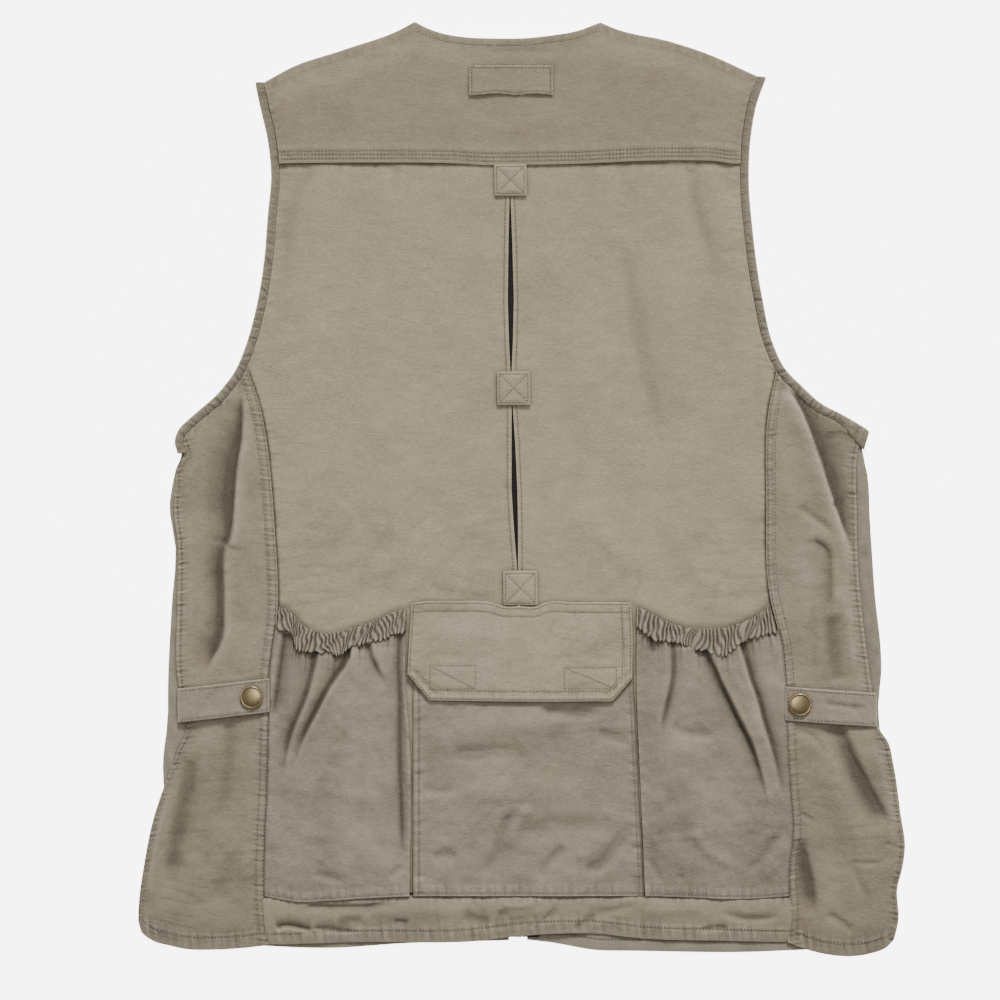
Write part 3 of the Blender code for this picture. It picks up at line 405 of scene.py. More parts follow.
def near(line, x, y):
    """For each point its distance to a line, the hand it lies on when walking along the line
    (1 on the left, -1 on the right), and how far along the line the nearest place is."""
    line = np.asarray(line, dtype=float)
    start, leg = line[:-1], np.diff(line, axis=0)
    size = np.hypot(*leg.T)
    before = lengths(line)[:-1]
    found = []
    places = np.column_stack((x.ravel(), y.ravel()))
    for block in np.array_split(places, max(1, len(places) // 4000)):
        place = block[:, None, :] - start
        share = np.clip((place * leg).sum(axis=2) / size**2, 0.0, 1.0)
        off = place - share[..., None] * leg
        away = np.hypot(off[..., 0], off[..., 1])
        row, best = np.arange(len(block)), away.argmin(axis=1)
        turn = leg[best, 0] * place[row, best, 1] - leg[best, 1] * place[row, best, 0]
        along = before[best] + share[row, best] * size[best]
        found.append(np.column_stack((away[row, best], np.where(turn >= 0, 1.0, -1.0), along)))
    away, hand, along = np.concatenate(found).T
    return away.reshape(x.shape), hand.reshape(x.shape), along.reshape(x.shape)


# %% [markdown]
# ## Creases, puckers and crumple
#
# Washed canvas shows three sizes of relief. Creases are long and were placed one by one from
# the photo. Puckers are the short ripples that a shrunken seam pulls into the cloth next to it.
# Crumple is the faint unevenness in between. A fold has one of three kinds. A bell is a soft
# ridge or valley. A crease has a sharp line and a tail that dies out. A lip stands beside a
# crease where cloth folds over itself: one side falls away softly and the other is steep.

# %% Relief of the cloth
Fold = namedtuple("Fold", "height left right path start end kind", defaults=(0.2, 0.3, "bell"))
CREASE_ROUND = 0.5
NOOK_DEPTH = 4.0


def relief(folds, x, y):
    """Sum of the folds: height times a bell of the distance, with its own half width on the
    left and right hand, and it eases in and out over the start and end shares of the path. A
    crease has a sharp line at its path and a tail that falls to a third each width."""
    total = np.zeros_like(x)
    for fold in folds:
        path = smooth_line(fold.path, 14)
        away, hand, along = near(path, x, y)
        share = along / lengths(path)[-1]
        width = np.where(hand > 0, fold.left, fold.right)
        fade = ease(share / fold.start) * ease((1.0 - share) / fold.end)
        if fold.kind == "crease":
            shape = np.exp(-(np.hypot(away, CREASE_ROUND) - CREASE_ROUND) / width)
        else:
            shape = bell(away, width)
        total += fold.height * fade * shape
    return total


def nooks(folds, x, y):
    """Shade within the creases: their depth as a share of a full nook's depth."""
    return -relief([fold for fold in folds if fold.kind == "crease"], x, y) / NOOK_DEPTH


def crests(folds, x, y):
    """Painted highlight along the lips of the tucks, on a line half as wide as the lip."""
    lips = [fold for fold in folds if fold.kind == "lip"]
    return relief([lip._replace(left=0.5 * lip.left, right=0.5 * lip.right) for lip in lips], x, y)


def tuck(depth, lip, soft, sharp, hand, path, start=0.04, end=0.5):
    """A fold of cloth over itself, as a creased valley and a lip. The lip stands on the given
    hand of the path (1 left, -1 right), where the valley is steep; on the other hand its tail
    is soft."""
    left, right = (0.6 * sharp, soft) if hand > 0 else (soft, 0.6 * sharp)
    beside = tuple(map(tuple, offset_line(smooth_line(path, 14), hand * 2.2 * sharp)))
    widths = (4.5 * sharp, 1.2 * sharp)[::hand]
    return (
        Fold(-depth, left, right, path, start, end, "crease"),
        Fold(lip, *widths, beside, start, end, "lip"),
    )


def ripple(turns, seed):
    """An uneven wave between about -1 and 1: four sines whose periods don't fit each other."""
    phase = np.random.default_rng(seed).uniform(0.0, 2.0 * np.pi, 4)
    turns = 2.0 * np.pi * turns
    return (
        np.sin(turns + phase[0]) + 0.7 * np.sin(0.62 * turns + phase[1])
        + 0.5 * np.sin(1.71 * turns + phase[2]) + 0.4 * np.sin(0.23 * turns + phase[3])
    ) / 2.0


def crumple(x, y, size, seed):
    """Smooth noise between -1 and 1: random values on a lattice, eased from one to the next."""
    table = np.random.default_rng(seed).uniform(-1.0, 1.0, (64, 64))
    wide, tall = np.broadcast_to(size, 2)
    across, up = x / wide + 32.0, y / tall + 32.0
    column, row = np.floor(across).astype(int), np.floor(up).astype(int)
    u, v = ease(across - column), ease(up - row)
    low = table[row % 64, column % 64] * (1 - u) + table[row % 64, (column + 1) % 64] * u
    high = (table[(row + 1) % 64, column % 64] * (1 - u)
            + table[(row + 1) % 64, (column + 1) % 64] * u)
    return low * (1 - v) + high * v


Wrinkling = namedtuple("Wrinkling", "turn long short")
WRINKLES = (Wrinkling(5.0, 62.0, 10.0), Wrinkling(-14.0, 46.0, 8.5), Wrinkling(41.0, 40.0, 9.5))
WRINKLE_PATCH, WRINKLE_WIDTH = 38.0, 0.4


def wrinkles(x, y, seed):
    """Short sharp creases from washing, as a valley of depth 1: where a stretched noise crosses
    zero there is a line, and a wider noise keeps only patches of it. Three directions."""
    total = np.zeros_like(x)
    for number, (turn, long, short) in enumerate(WRINKLES):
        turn = np.radians(turn)
        along = x * np.cos(turn) + y * np.sin(turn)
        over = y * np.cos(turn) - x * np.sin(turn)
        line = crumple(along, over, (long, short), seed + 10 * number)
        patchy = ease(0.15 + 1.5 * crumple(x, y, WRINKLE_PATCH, seed + 10 * number + 5))
        total += patchy * np.clip(1.0 - np.abs(line) / WRINKLE_WIDTH, 0.0, 1.0) ** 1.5
    return total


# %% [markdown]
# A sewn edge has a band of doubled cloth, one or more stitched rows that pull a groove into
# it, and puckers that die out beyond the rows. The same rule serves laps, hems and pocket
# edges, with other numbers.

# %% Sewn edges and rows
Edge = namedtuple("Edge", "name band rise rows pucker pitch seed")
BAND_SLOPE = 2.6
GROOVE, GROOVE_WIDTH = 0.34, 0.75
PUCKER_REACH, PUCKER_LEAN = 5.0, 0.12
# PALE_FOLD pales a rubbed fold; DARK_ROW is painted shade along a stitched row.
PALE_FOLD, DARK_ROW = 1.1, 1.6
STITCH_PULL, STITCH_PITCH, STITCH_REACH = 0.35, 2.7, 3.0
ROUND, ROUND_REACH = 0.55, 1.4


def puckers(away, along, band, pitch, seed):
    """Ripples along a seam, strongest over the band and gone a little beyond it. They lean a
    little, so the wave is read further on with the distance. A finer one goes with the stitches."""
    wave = ripple((along + PUCKER_LEAN * away) / pitch, seed)
    fine = np.cos(2.0 * np.pi * along / STITCH_PITCH)
    beyond = np.clip(away - band, 0.0, None)
    uneven = 0.65 + 0.35 * ripple(along / (6.3 * pitch), seed + 50)
    drawn = wave + STITCH_PULL * fine * bell(away - band, STITCH_REACH)
    return drawn * uneven * bell(beyond, PUCKER_REACH)


def sewn(reach, edges):
    """Top relief of the sewn edges, and their paleness: rubbed pale at the fold, painted shade
    along the stitched rows, and painted light and shade on the puckers.
    """
    fine = np.zeros_like(reach.left)
    wear = np.zeros_like(reach.left)
    for edge in edges:
        away = getattr(reach, edge.name)
        along = reach.down if edge.name in ("left", "right") else reach.across
        wave = puckers(away, along, edge.band, edge.pitch, edge.seed)
        fine += edge.rise * (1.0 - ease((away - edge.band) / BAND_SLOPE)) + edge.pucker * wave
        for row in edge.rows:
            fine -= GROOVE * bell(away - row, GROOVE_WIDTH)
            # Painted shade in the groove of the row.
            wear -= DARK_ROW * bell(away - row, GROOVE_WIDTH)
        wear += PALE_FOLD * bell(away, 1.2)
        near_rows = bell(away - 0.75 * edge.band, 0.5 * edge.band + 1.5)
        # Painted light and shade on the puckers: crests paler, troughs darker.
        wear += min(2.8, 7.0 * edge.pucker) * wave * near_rows
    return fine, wear


def rounded(reach):
    """How much the top falls at the very edges, as a parabola over the last millimetre."""
    return ROUND * np.clip(1.0 - inset_of(reach) / ROUND_REACH, 0.0, 1.0) ** 2


def row_beside(grid, name, distance, trim=1.5):
    """A stitched row at a distance from one edge of a grid, and short of the edge's ends."""
    edge, hand = {
        "left": (grid[:, 0], 1), "right": (grid[:, -1], -1),
        "top": (grid[0], -1), "foot": (grid[-1], 1),
    }[name]
    line = offset_line(read_line(edge, np.linspace(0.0, 1.0, 200)), hand * distance)
    ends = trim / lengths(line)[-1]
    return read_line(line, np.linspace(ends, 1.0 - ends, 200))


# %% [markdown]
# ## A closed sheet of cloth
#
# Solidify could give the wall, but here the underside has to stay clear of the layer below, so
# both faces are made. The upper grid carries all the relief. The lower one has every second
# point, runs a wall's thickness beneath and never sinks under its own lowest level, and a strip
# closes the edge. Two values go with each point for the finish to read. The first makes the
# colour paler or darker: paler where the cloth is rubbed, and painted light and shade on crests,
# puckers and stitched rows. The second, shade, is painted shade in folds, beside laps and under edges.

# %% Shell, finish marks and hiding the replaced parts
Piece = namedtuple("Piece", "object grid over")
Crumple = namedtuple("Crumple", "size share")
CRUMPLES = (Crumple(31.0, 1.0), Crumple(14.0, 0.5), Crumple(6.0, 0.3))
STEADY_EDGE = 6.0


def every_second(count):
    """Every second row or column, and always the last."""
    return np.unique(np.append(np.arange(0, count, 2), count - 1))


def quads(index):
    """The faces of a grid of point numbers, which look up."""
    corners = (index[:-1, :-1], index[1:, :-1], index[1:, 1:], index[:-1, 1:])
    return np.stack(corners, axis=-1).reshape(-1, 4)


def around(index):
    """The point numbers round the rim of a grid, one way round."""
    return np.concatenate((index[0, :-1], index[:-1, -1], index[-1, :0:-1], index[:0:-1, 0]))


def placed(name, points, faces, material):
    """A mesh from points in millimetres, as an object that rides on the vest's one body."""
    mesh = bpy.data.meshes.new(name)
    mesh.from_pydata((points * MM).tolist(), [], faces)
    mesh.materials.append(material)
    made = bpy.data.objects.new(name, mesh)
    bpy.context.scene.collection.objects.link(made)
    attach(made, "root")
    return made


def mark(made, name, values):
    """A value at each point of a mesh, which its finish reads by name."""
    field = made.data.attributes.new(name, "FLOAT", "POINT")
    field.data.foreach_set("value", values.astype(np.float32))


def shell(name, grid, under, over, wear, shade, material):
    """Closed mesh of a sheet: the upper grid, a lower one of every second point, and a strip
    between their rims whose faces take in the upper points between two lower ones."""
    picked = np.ix_(every_second(over.shape[0]), every_second(over.shape[1]))
    high = np.arange(over.size).reshape(over.shape)
    low = over.size + np.arange(high[picked].size).reshape(high[picked].shape)
    points = np.concatenate((np.dstack((grid, over)).reshape(-1, 3),
                             np.dstack((grid, under))[picked].reshape(-1, 3)))
    rim, low_rim = around(high), around(low)
    shared = np.flatnonzero(np.isin(rim, high[picked]))
    strip = []
    for number, start in enumerate(shared):
        stop = shared[number + 1] if number + 1 < len(shared) else len(rim)
        between = rim[np.arange(start, stop + 1) % len(rim)]
        strip.append([low_rim[(number + 1) % len(low_rim)], low_rim[number], *between])
    faces = quads(high).tolist() + quads(low)[:, ::-1].tolist() + strip
    made = placed(name + "_cloth", points, faces, material)
    for field, values in (("wear", wear), ("shade", shade)):
        values = np.broadcast_to(values, over.shape)
        mark(made, field, np.concatenate((values.ravel(), values[picked].ravel())))
    made.data.shade_smooth()
    return Piece(made, grid, over)


def cloth(name, grid, level, folds, fine, wear, material, seed,
          thick=CLOTH, lowest=None, soft=0.22, crease=0.0, dark=0.0):
    """A panel from its level, its folds and the fine relief of its seams. Crumple is added, by
    its softness, and short washed creases, by their depth. Painted shade goes into the valleys
    deeper than a set depth, the washed creases and the given dark marks, and the crumple's height
    is painted into the colour as light and shade."""
    x, y, reach = laid_out(grid)
    lines = crease * wrinkles(x, y, seed + 400) * ease(inset_of(reach) / STEADY_EDGE)
    uneven = soft * sum(share * crumple(x, y, size, seed + turn)
                        for turn, (size, share) in enumerate(CRUMPLES)) - lines
    edge = rounded(reach)
    over = level + thick + folds + uneven + fine - edge
    under = over - thick + 2.0 * edge
    if lowest is not None:
        under = np.maximum(under, lowest)
        over = np.maximum(over, under + 0.45 * thick)
    # Painted shade: deep valleys, washed creases and the dark marks darken the colour.
    folded = np.clip((-folds - SHADE_FROM) / SHADE_DEPTH, 0.0, 1.0)
    shade = np.clip(folded + 0.35 * lines + dark, 0.0, SHADE_MOST)
    # Painted light and shade: the crumple's height makes the colour paler on rises and darker in creases.
    return shell(name, grid, under, over, wear + 0.8 * uneven, shade, material)


STITCHED = {}


def sew_line(piece, *corners):
    """Notes a line with corners on a piece, to be stitched when all is laid."""
    noted = STITCHED.setdefault(piece.object.name, (piece, []))[1]
    noted.append(np.array(corners, dtype=float))


def sew(piece, edges):
    """Notes the rows of an edge table as lines on the piece."""
    for edge in edges:
        for row in edge.rows:
            sew_line(piece, *row_beside(piece.grid, edge.name, row))


def declare(piece, node, fullness=1.0, allowance=6.0, strip=None):
    """Hides the node that the piece replaces and works out the extent of its cut, with a seam
    allowance all round and wider by the fullness where the cloth is gathered; the extent is not
    used further. A curved strip is cut straight, so its own width and length are given."""
    made, grid = piece.object, piece.grid
    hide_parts(node)
    width, length = (strip or np.ptp(grid.reshape(-1, 2), axis=0)) + np.array(2.0 * allowance)
    width *= fullness


# %% [markdown]
# ## Finishes
#
# Canvas is a plain weave: warp and weft cross every six tenths of a millimetre. From a step
# away one sees less of the threads than of their unevenness: thicker slubs, pale knots and a few
# dark ones, and the broad clouds that washing leaves. Where an edge is rubbed, the dye is paler.
# The clouds, slubs, knots and weave are made from patterns on the piece's own coordinates,
# which stay with the cloth. Marks on the points add the rubbed paleness and painted light and
# shade, and an occlusion node adds painted shade in nooks.

# %% Canvas and its relatives
SHADE_FROM, SHADE_DEPTH, SHADE_MOST = 0.3, 6.0, 1.15
WEAVE_PITCH, WEAVE_SHARE, WEAVE_HEIGHT = 0.62, 0.16, 0.16
SLUB_STRETCH, SLUB_SIZE, PATCH_SIZE, PATCH_SHARE = 0.45, 1.5, 7.0, 0.55
CLOUD_SIZE, HUE_SIZE, WARM_TINT = 38.0, 60.0, (1.03, 1.0, 0.93)
KNOT_SIZE, PALE_KNOTS, DARK_KNOTS, KNOT_CONTRAST = 1.1, 0.74, 0.24, 3.0
SHADE_DARKENS, PALENESS_SHARE = 0.55, 0.14
NOOK_SIZE, NOOK_DARKENS, NOOK_SAMPLES = 5.0, 0.8, 6
Weave = namedtuple("Weave", "colour mottle fleck bump sheen roughness")


def add_node(tree, kind, **values):
    """A shader node with some of its settings and inputs given by name."""
    node = tree.nodes.new(kind)
    for name, value in values.items():
        if name in node.inputs:
            node.inputs[name].default_value = value
        else:
            setattr(node, name, value)
    return node


def arithmetic(tree, operation, first, second, clamp=False):
    """A sum, difference or product of two values, each a number or another node's output."""
    node = tree.nodes.new("ShaderNodeMath")
    node.operation = operation
    node.use_clamp = clamp
    for socket, value in zip(node.inputs, (first, second)):
        if isinstance(value, (int, float)):
            socket.default_value = value
        else:
            tree.links.new(value, socket)
    return node.outputs[0]


def noise(tree, place, size, detail=2.0):
    """Noise whose patches are about the given size in millimetres, from about 0 to 1."""
    node = add_node(tree, "ShaderNodeTexNoise", Scale=1.0 / (size * MM), Detail=detail)
    tree.links.new(place, node.inputs["Vector"])
    return node.outputs[0]


def threads(tree, place, direction, pitch):
    """Parallel threads: a sine wave along X or Y, a little bent by noise."""
    size = 2.0 * np.pi / (20.0 * pitch * MM)
    node = add_node(tree, "ShaderNodeTexWave", Scale=size, Distortion=1.2, bands_direction=direction)
    node.inputs["Detail"].default_value = 1.0
    node.inputs["Detail Scale"].default_value = 0.4
    tree.links.new(place, node.inputs["Vector"])
    return node.outputs["Fac"]


def cloth_material(name, weave, pitch=WEAVE_PITCH):
    """Woven cloth. Value = 1 + clouds + slubs + weave + the rubbed paleness and painted light - the
    painted shade, and it multiplies the colour. Nooks that see little of the sky are darker: an
    occlusion node, painted shade in the colour. Pale and dark knots come from the tails of a fine
    noise."""
    material = bpy.data.materials.new(name)
    material.use_nodes = True
    tree = material.node_tree
    shader = tree.nodes["Principled BSDF"]
    shader.inputs["Roughness"].default_value = weave.roughness
    shader.inputs["Sheen Weight"].default_value = weave.sheen
    shader.inputs["Sheen Roughness"].default_value = 0.55
    shader.inputs["Specular IOR Level"].default_value = 0.2
    place = tree.nodes.new("ShaderNodeTexCoord").outputs["Object"]
    wear = add_node(tree, "ShaderNodeAttribute", attribute_name="wear").outputs["Fac"]
    shade = add_node(tree, "ShaderNodeAttribute", attribute_name="shade").outputs["Fac"]

    warp = threads(tree, place, "X", pitch)
    weft = threads(tree, place, "Y", pitch)
    woven = arithmetic(tree, "MULTIPLY", arithmetic(tree, "ADD", warp, weft), 0.5)
    clouds = arithmetic(tree, "SUBTRACT", noise(tree, place, CLOUD_SIZE, 3.0), 0.5)
    drawn = add_node(tree, "ShaderNodeMapping")
    drawn.inputs["Scale"].default_value = (SLUB_STRETCH, 1.0, 1.0)
    tree.links.new(place, drawn.inputs["Vector"])
    slubs = arithmetic(tree, "SUBTRACT", noise(tree, drawn.outputs[0], SLUB_SIZE), 0.5)
    patches = arithmetic(tree, "SUBTRACT", noise(tree, drawn.outputs[0], PATCH_SIZE), 0.5)
    value = arithmetic(tree, "MULTIPLY_ADD", clouds, weave.mottle)
    tree.nodes[-1].inputs[2].default_value = 1.0
    for part, amount in ((slubs, weave.fleck), (patches, PATCH_SHARE * weave.fleck), (wear, PALENESS_SHARE),
                         (arithmetic(tree, "SUBTRACT", woven, 0.5), WEAVE_SHARE)):
        value = arithmetic(tree, "ADD", value, arithmetic(tree, "MULTIPLY", part, amount))
    unshaded = arithmetic(tree, "SUBTRACT", 1.0, arithmetic(tree, "MULTIPLY", shade, SHADE_DARKENS))
    value = arithmetic(tree, "MULTIPLY", value, unshaded)
    # Painted shade: occlusion darkens the colour in nooks and creases.
    nook = add_node(tree, "ShaderNodeAmbientOcclusion", Distance=NOOK_SIZE * MM, samples=NOOK_SAMPLES)
    open_sky = arithmetic(tree, "MULTIPLY", nook.outputs["AO"], NOOK_DARKENS)
    value = arithmetic(tree, "MULTIPLY", value, arithmetic(tree, "ADD", open_sky, 1.0 - NOOK_DARKENS))
    knots = noise(tree, place, KNOT_SIZE, 0.0)
    above = arithmetic(tree, "SUBTRACT", knots, PALE_KNOTS, True)
    below = arithmetic(tree, "SUBTRACT", DARK_KNOTS, knots, True)
    pale = arithmetic(tree, "MULTIPLY", above, KNOT_CONTRAST)
    dark = arithmetic(tree, "MULTIPLY", below, KNOT_CONTRAST)
    value = arithmetic(tree, "SUBTRACT", arithmetic(tree, "ADD", value, pale), dark)

    colour = add_node(tree, "ShaderNodeVectorMath", operation="SCALE")
    hue = add_node(tree, "ShaderNodeMix", data_type="RGBA")
    hue.inputs["A"].default_value = (*weave.colour, 1.0)
    hue.inputs["B"].default_value = (*(np.array(weave.colour) * WARM_TINT), 1.0)
    tree.links.new(noise(tree, place, HUE_SIZE), hue.inputs["Factor"])
    tree.links.new(hue.outputs["Result"], colour.inputs[0])
    tree.links.new(value, colour.inputs["Scale"])
    tree.links.new(colour.outputs[0], shader.inputs["Base Color"])

    height = arithmetic(tree, "ADD", arithmetic(tree, "MULTIPLY", woven, 0.5),
                        arithmetic(tree, "MULTIPLY", slubs, 2.2))
    bump = add_node(tree, "ShaderNodeBump", Strength=weave.bump, Distance=WEAVE_HEIGHT * MM)
    tree.links.new(height, bump.inputs["Height"])
    tree.links.new(bump.outputs[0], shader.inputs["Normal"])
    return material


def canvas(place, colour, mottle=0.20):
    """The vest's canvas at one place: its colour and how cloudy it is. The colours of the pieces
    differ partly by the dye and partly as painted light and shade.
    """
    return cloth_material("canvas_" + place, Weave(colour, mottle, 0.46, 0.8, 0.04, 0.92))


def two_tone(name, first, second, share, settings):
    """A finish between two colours. The share says how much of the second one there is, from
    the tree and the place, and the settings are inputs of the shader."""
    material = bpy.data.materials.new(name)
    material.use_nodes = True
    tree = material.node_tree
    shader = tree.nodes["Principled BSDF"]
    for setting, value in settings.items():
        shader.inputs[setting].default_value = value
    mix = add_node(tree, "ShaderNodeMix", data_type="RGBA")
    mix.inputs["A"].default_value = (*first, 1.0)
    mix.inputs["B"].default_value = (*second, 1.0)
    place = tree.nodes.new("ShaderNodeTexCoord").outputs["Object"]
    tree.links.new(share(tree, place), mix.inputs["Factor"])
    tree.links.new(mix.outputs["Result"], shader.inputs["Base Color"])
    return material


# Lit and shaded copies of one canvas: the colours are partly painted light and shade, lightest on the back
# and flap in the middle, darker on the yoke, sides and pockets, darkest on the fronts that lie under the
# back.
YOKE_CANVAS = canvas("yoke", (0.313, 0.261, 0.189), 0.22)
BACK_CANVAS = canvas("back", (0.376, 0.320, 0.229))
SIDE_CANVAS = canvas("side", (0.312, 0.262, 0.195), 0.24)
POCKET_CANVAS = canvas("pocket", (0.302, 0.253, 0.194), 0.22)
FLAP_CANVAS = canvas("flap", (0.376, 0.319, 0.233))
STRAP_CANVAS = canvas("strap", (0.318, 0.268, 0.205))
FRONT_CANVAS = canvas("front", (0.290, 0.255, 0.195))
BINDING_CLOTH = cloth_material("binding_cloth", Weave((0.258, 0.222, 0.165), 0.2, 0.4, 0.8, 0.1, 0.9), 0.5)
BLACK_MESH = cloth_material("black_mesh", Weave((0.019, 0.015, 0.013), 0.2, 0.6, 1.0, 0.05, 0.7), 1.1)
TAPE_CLOTH = cloth_material("zip_tape", Weave((0.030, 0.028, 0.024), 0.2, 0.5, 1.0, 0.1, 0.8), 0.8)
print("finishes", len(bpy.data.materials))

# %% [markdown]
# ## How the layers lie
#
# The fronts lie on the floor and the back over them. Along the free rim the back comes down to
# the fronts, inside it lies a few millimetres up, over the zip and the mesh.

# %% Level of the back
def rim_of_back():
    """The free outline of the back, as one closed line."""
    return joined(
        smooth_line(SHOULDER_LEFT, 12), smooth_line(NECK, 16), smooth_line(SHOULDER_RIGHT, 12),
        smooth_line(ARMHOLE_RIGHT, 30), smooth_line(SIDE_EDGE_RIGHT, 40),
        smooth_line(SIDE_HEM_RIGHT, 12)[::-1], smooth_line(BACK_HEM, 20)[::-1],
        smooth_line(SIDE_HEM_LEFT, 12)[::-1], smooth_line(SIDE_EDGE_LEFT, 40)[::-1],
        smooth_line(ARMHOLE_LEFT, 30)[::-1],
    )


RIM = rim_of_back()


def from_rim(x, y):
    """Distance to the free outline of the back."""
    return near(RIM, x, y)[0]


def back_level(x, y):
    """Underside of the back: low along the free rim, level inside, and clear of the zip."""
    inside = ease(from_rim(x, y) / RIM_ROLL)
    over_zip = 1.0 - ease((np.abs(x - ZIP_X) - ZIP_CLEAR) / ZIP_SLOPE)
    edge = RIM_LEVEL + (MESH_LEVEL - RIM_LEVEL) * over_zip
    return edge + (BACK_LEVEL - edge) * inside


SideLines = namedtuple("SideLines", "side line yoke back side_top corner seam")


def side_lines(side, armhole, shoulder_rise, turn_y, seam_points, edge_points):
    """The lines that neighbouring panels share on one side: the armhole moved in by its
    binding, cut into the stretches of yoke, back and side panel, and the side panel's seam."""
    line = offset_line(smooth_line(armhole, 90), -side * (BINDING_WIDTH + GAP))
    top, foot = line[0][1] + shoulder_rise, edge_points[0][1]
    seam_top = seam_points[0][1]
    corner = stretch(line, seam_top, seam_top, 1)[0]
    seam = smooth_line((corner, *seam_points[1:]), 200)
    return SideLines(
        side, line,
        stretch(line, top, YOKE_SEAM_Y),
        stretch(line, YOKE_SEAM_Y, seam_top),
        stretch(line, seam_top, turn_y),
        stretch(line, turn_y, foot, 12 if turn_y > foot else 1),
        seam,
    )


LEFT = side_lines(-1, ARMHOLE_LEFT, 1.9, ARMHOLE_TURN_LEFT, BACK_SEAM_LEFT, SIDE_EDGE_LEFT)
RIGHT = side_lines(1, ARMHOLE_RIGHT, 0.9, SIDE_EDGE_RIGHT[0][1], BACK_SEAM_RIGHT, SIDE_EDGE_RIGHT)
print("rim", round(lengths(RIM)[-1]), "mm round")

# %% [markdown]
# ## Fronts and zip
#
# Only strips of the two fronts show, past the side seams and below the hem, and where they part
# there is a dark sliver, taken for the end of a zip. They are still whole panels, because they
# carry the rest. A panel that hardly shows needs close points only near its edges, so its
# stations are wide in the middle.

# %% Fronts
FRONT_SPLIT = 14.0
ZIP_TOP_Y, ZIP_FOOT_Y = 178.0, -350.0
CHAIN_WIDTH, TAPE_WIDTH, TAPE_THICK = 6.0, 13.0, 1.0
EDGE_ZONE = 20.0


def edge_stations(length, fine=1.8, wide=9.0):
    """Close stations within the edge zone at either end and wide ones between."""
    return stations(length, (EDGE_ZONE, fine), (length - EDGE_ZONE, wide), (length, fine))


def make_front(name, side, shoulder, armhole, edge, hem, seed):
    """A front: outside it follows the armhole, a little under it, and the side seam, inside a
    curve from the shoulder to the zip. All its relief is near the edges."""
    arm = offset_line(smooth_line(armhole, 90), -side * 6.0)
    arm = arm[(arm[:, 1] < armhole[0][1] - 8.0) & (arm[:, 1] > edge[0][1] + 3.0)]
    split = ZIP_X + side * FRONT_SPLIT / 2
    outer = joined(np.vstack((arm[:1] + (-side * 2.0, 4.0), arm)), smooth_line(edge, 120)[1:])
    top = smooth_line((outer[0], *[(x, y - 3.0) for x, y in shoulder[1:]]), 40)
    between = (0.45 * top[-1][0] + 0.55 * split, 240.0)
    inner = smooth_line((top[-1], between, (split, ZIP_TOP_Y)), 60)
    inner = np.vstack((inner, (split, hem[-1][1] + GAP)))
    foot = smooth_line((outer[-1], *hem[1:-1], inner[-1]), 80)
    if side > 0:
        top, foot, outer, inner = top[::-1], foot[::-1], inner, outer
    across = edge_stations(max(lengths(top)[-1], lengths(foot)[-1]))
    down = edge_stations(lengths(outer)[-1])
    grid = patch(top, foot, outer, inner, across, down)
    reach = reach_in(grid)
    edges = (
        Edge("foot", 11.0, 0.25, (9.0,), 0.16, 7.0, seed),
        Edge(side_name(side), 7.0, 0.3, (), 0.3, 5.5, seed + 3),
    )
    fine, wear = sewn(reach, edges)
    inside = ease(np.minimum(reach.left, reach.right) / 60.0) * ease(reach.foot / 60.0)
    flat = np.zeros(grid.shape[:2])
    piece = cloth(name, grid, flat, flat, np.maximum(fine * (1 - inside), -0.5), wear,
                  FRONT_CANVAS, seed, lowest=0.0, soft=0.12)
    sew(piece, edges)
    declare(piece, name)


make_front("front_left", -1, SHOULDER_LEFT, ARMHOLE_LEFT, FRONT_EDGE_LEFT, FRONT_HEM_LEFT, 11)
make_front("front_right", 1, SHOULDER_RIGHT[::-1], ARMHOLE_RIGHT, FRONT_EDGE_RIGHT,
           FRONT_HEM_RIGHT[::-1], 23)

# %% [markdown]
# A zip's teeth are hundreds of like pieces, so one tooth is made with a few faces and repeated
# by adding its points to a row of places. Teeth from the two sides stand in turn.

# %% Zip
TOOTH_PITCH = 2.6
TOOTH = np.array([(-1.6, -0.55, -0.8), (1.6, -0.75, -0.8), (1.6, 0.75, -0.8), (-1.6, 0.55, -0.8),
                  (-1.5, -0.4, 0.8), (1.3, -0.6, 0.9), (1.3, 0.6, 0.9), (-1.5, 0.4, 0.8)])
BLOCK_FACES = np.array([(0, 3, 2, 1), (4, 5, 6, 7), (0, 1, 5, 4),
                        (1, 2, 6, 5), (2, 3, 7, 6), (3, 0, 4, 7)])
zip_centre_z = RIM_LEVEL + TAPE_THICK / 2 + 0.1

metal = two_tone("zip_metal", (0.050, 0.045, 0.040), (0.10, 0.09, 0.075),
                 lambda tree, place: noise(tree, place, 1.4), {"Metallic": 1.0, "Roughness": 0.42})


def joined_blocks(name, points, faces, material):
    """One mesh from many copies of a small shape, whose points are given copy by copy."""
    count, size = points.shape[:2]
    every = (faces[None] + (np.arange(count) * size)[:, None, None]).reshape(-1, faces.shape[1])
    return placed(name, points.reshape(-1, 3), every.tolist(), material)


def make_teeth():
    """Every tooth at once: one tooth's points, mirrored for every second one, plus its place."""
    heights = np.arange(ZIP_FOOT_Y + 11.0, ZIP_TOP_Y - 16.0, TOOTH_PITCH / 2)
    hand = np.where(np.arange(len(heights)) % 2 == 0, 1.0, -1.0)
    shape = TOOTH[None] * np.column_stack((hand, hand, np.ones_like(hand)))[:, None, :]
    middle = np.column_stack((ZIP_X - 1.0 * hand, heights, np.full_like(heights, zip_centre_z)))
    made = joined_blocks("zip_teeth", shape + middle[:, None, :], BLOCK_FACES, metal)
    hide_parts("zip_chain")
    print("teeth", len(heights))


make_teeth()
for node_name in ("zip_end_box", "zip_slider"):
    bpy.data.objects[node_name].material_slots[0].material = metal


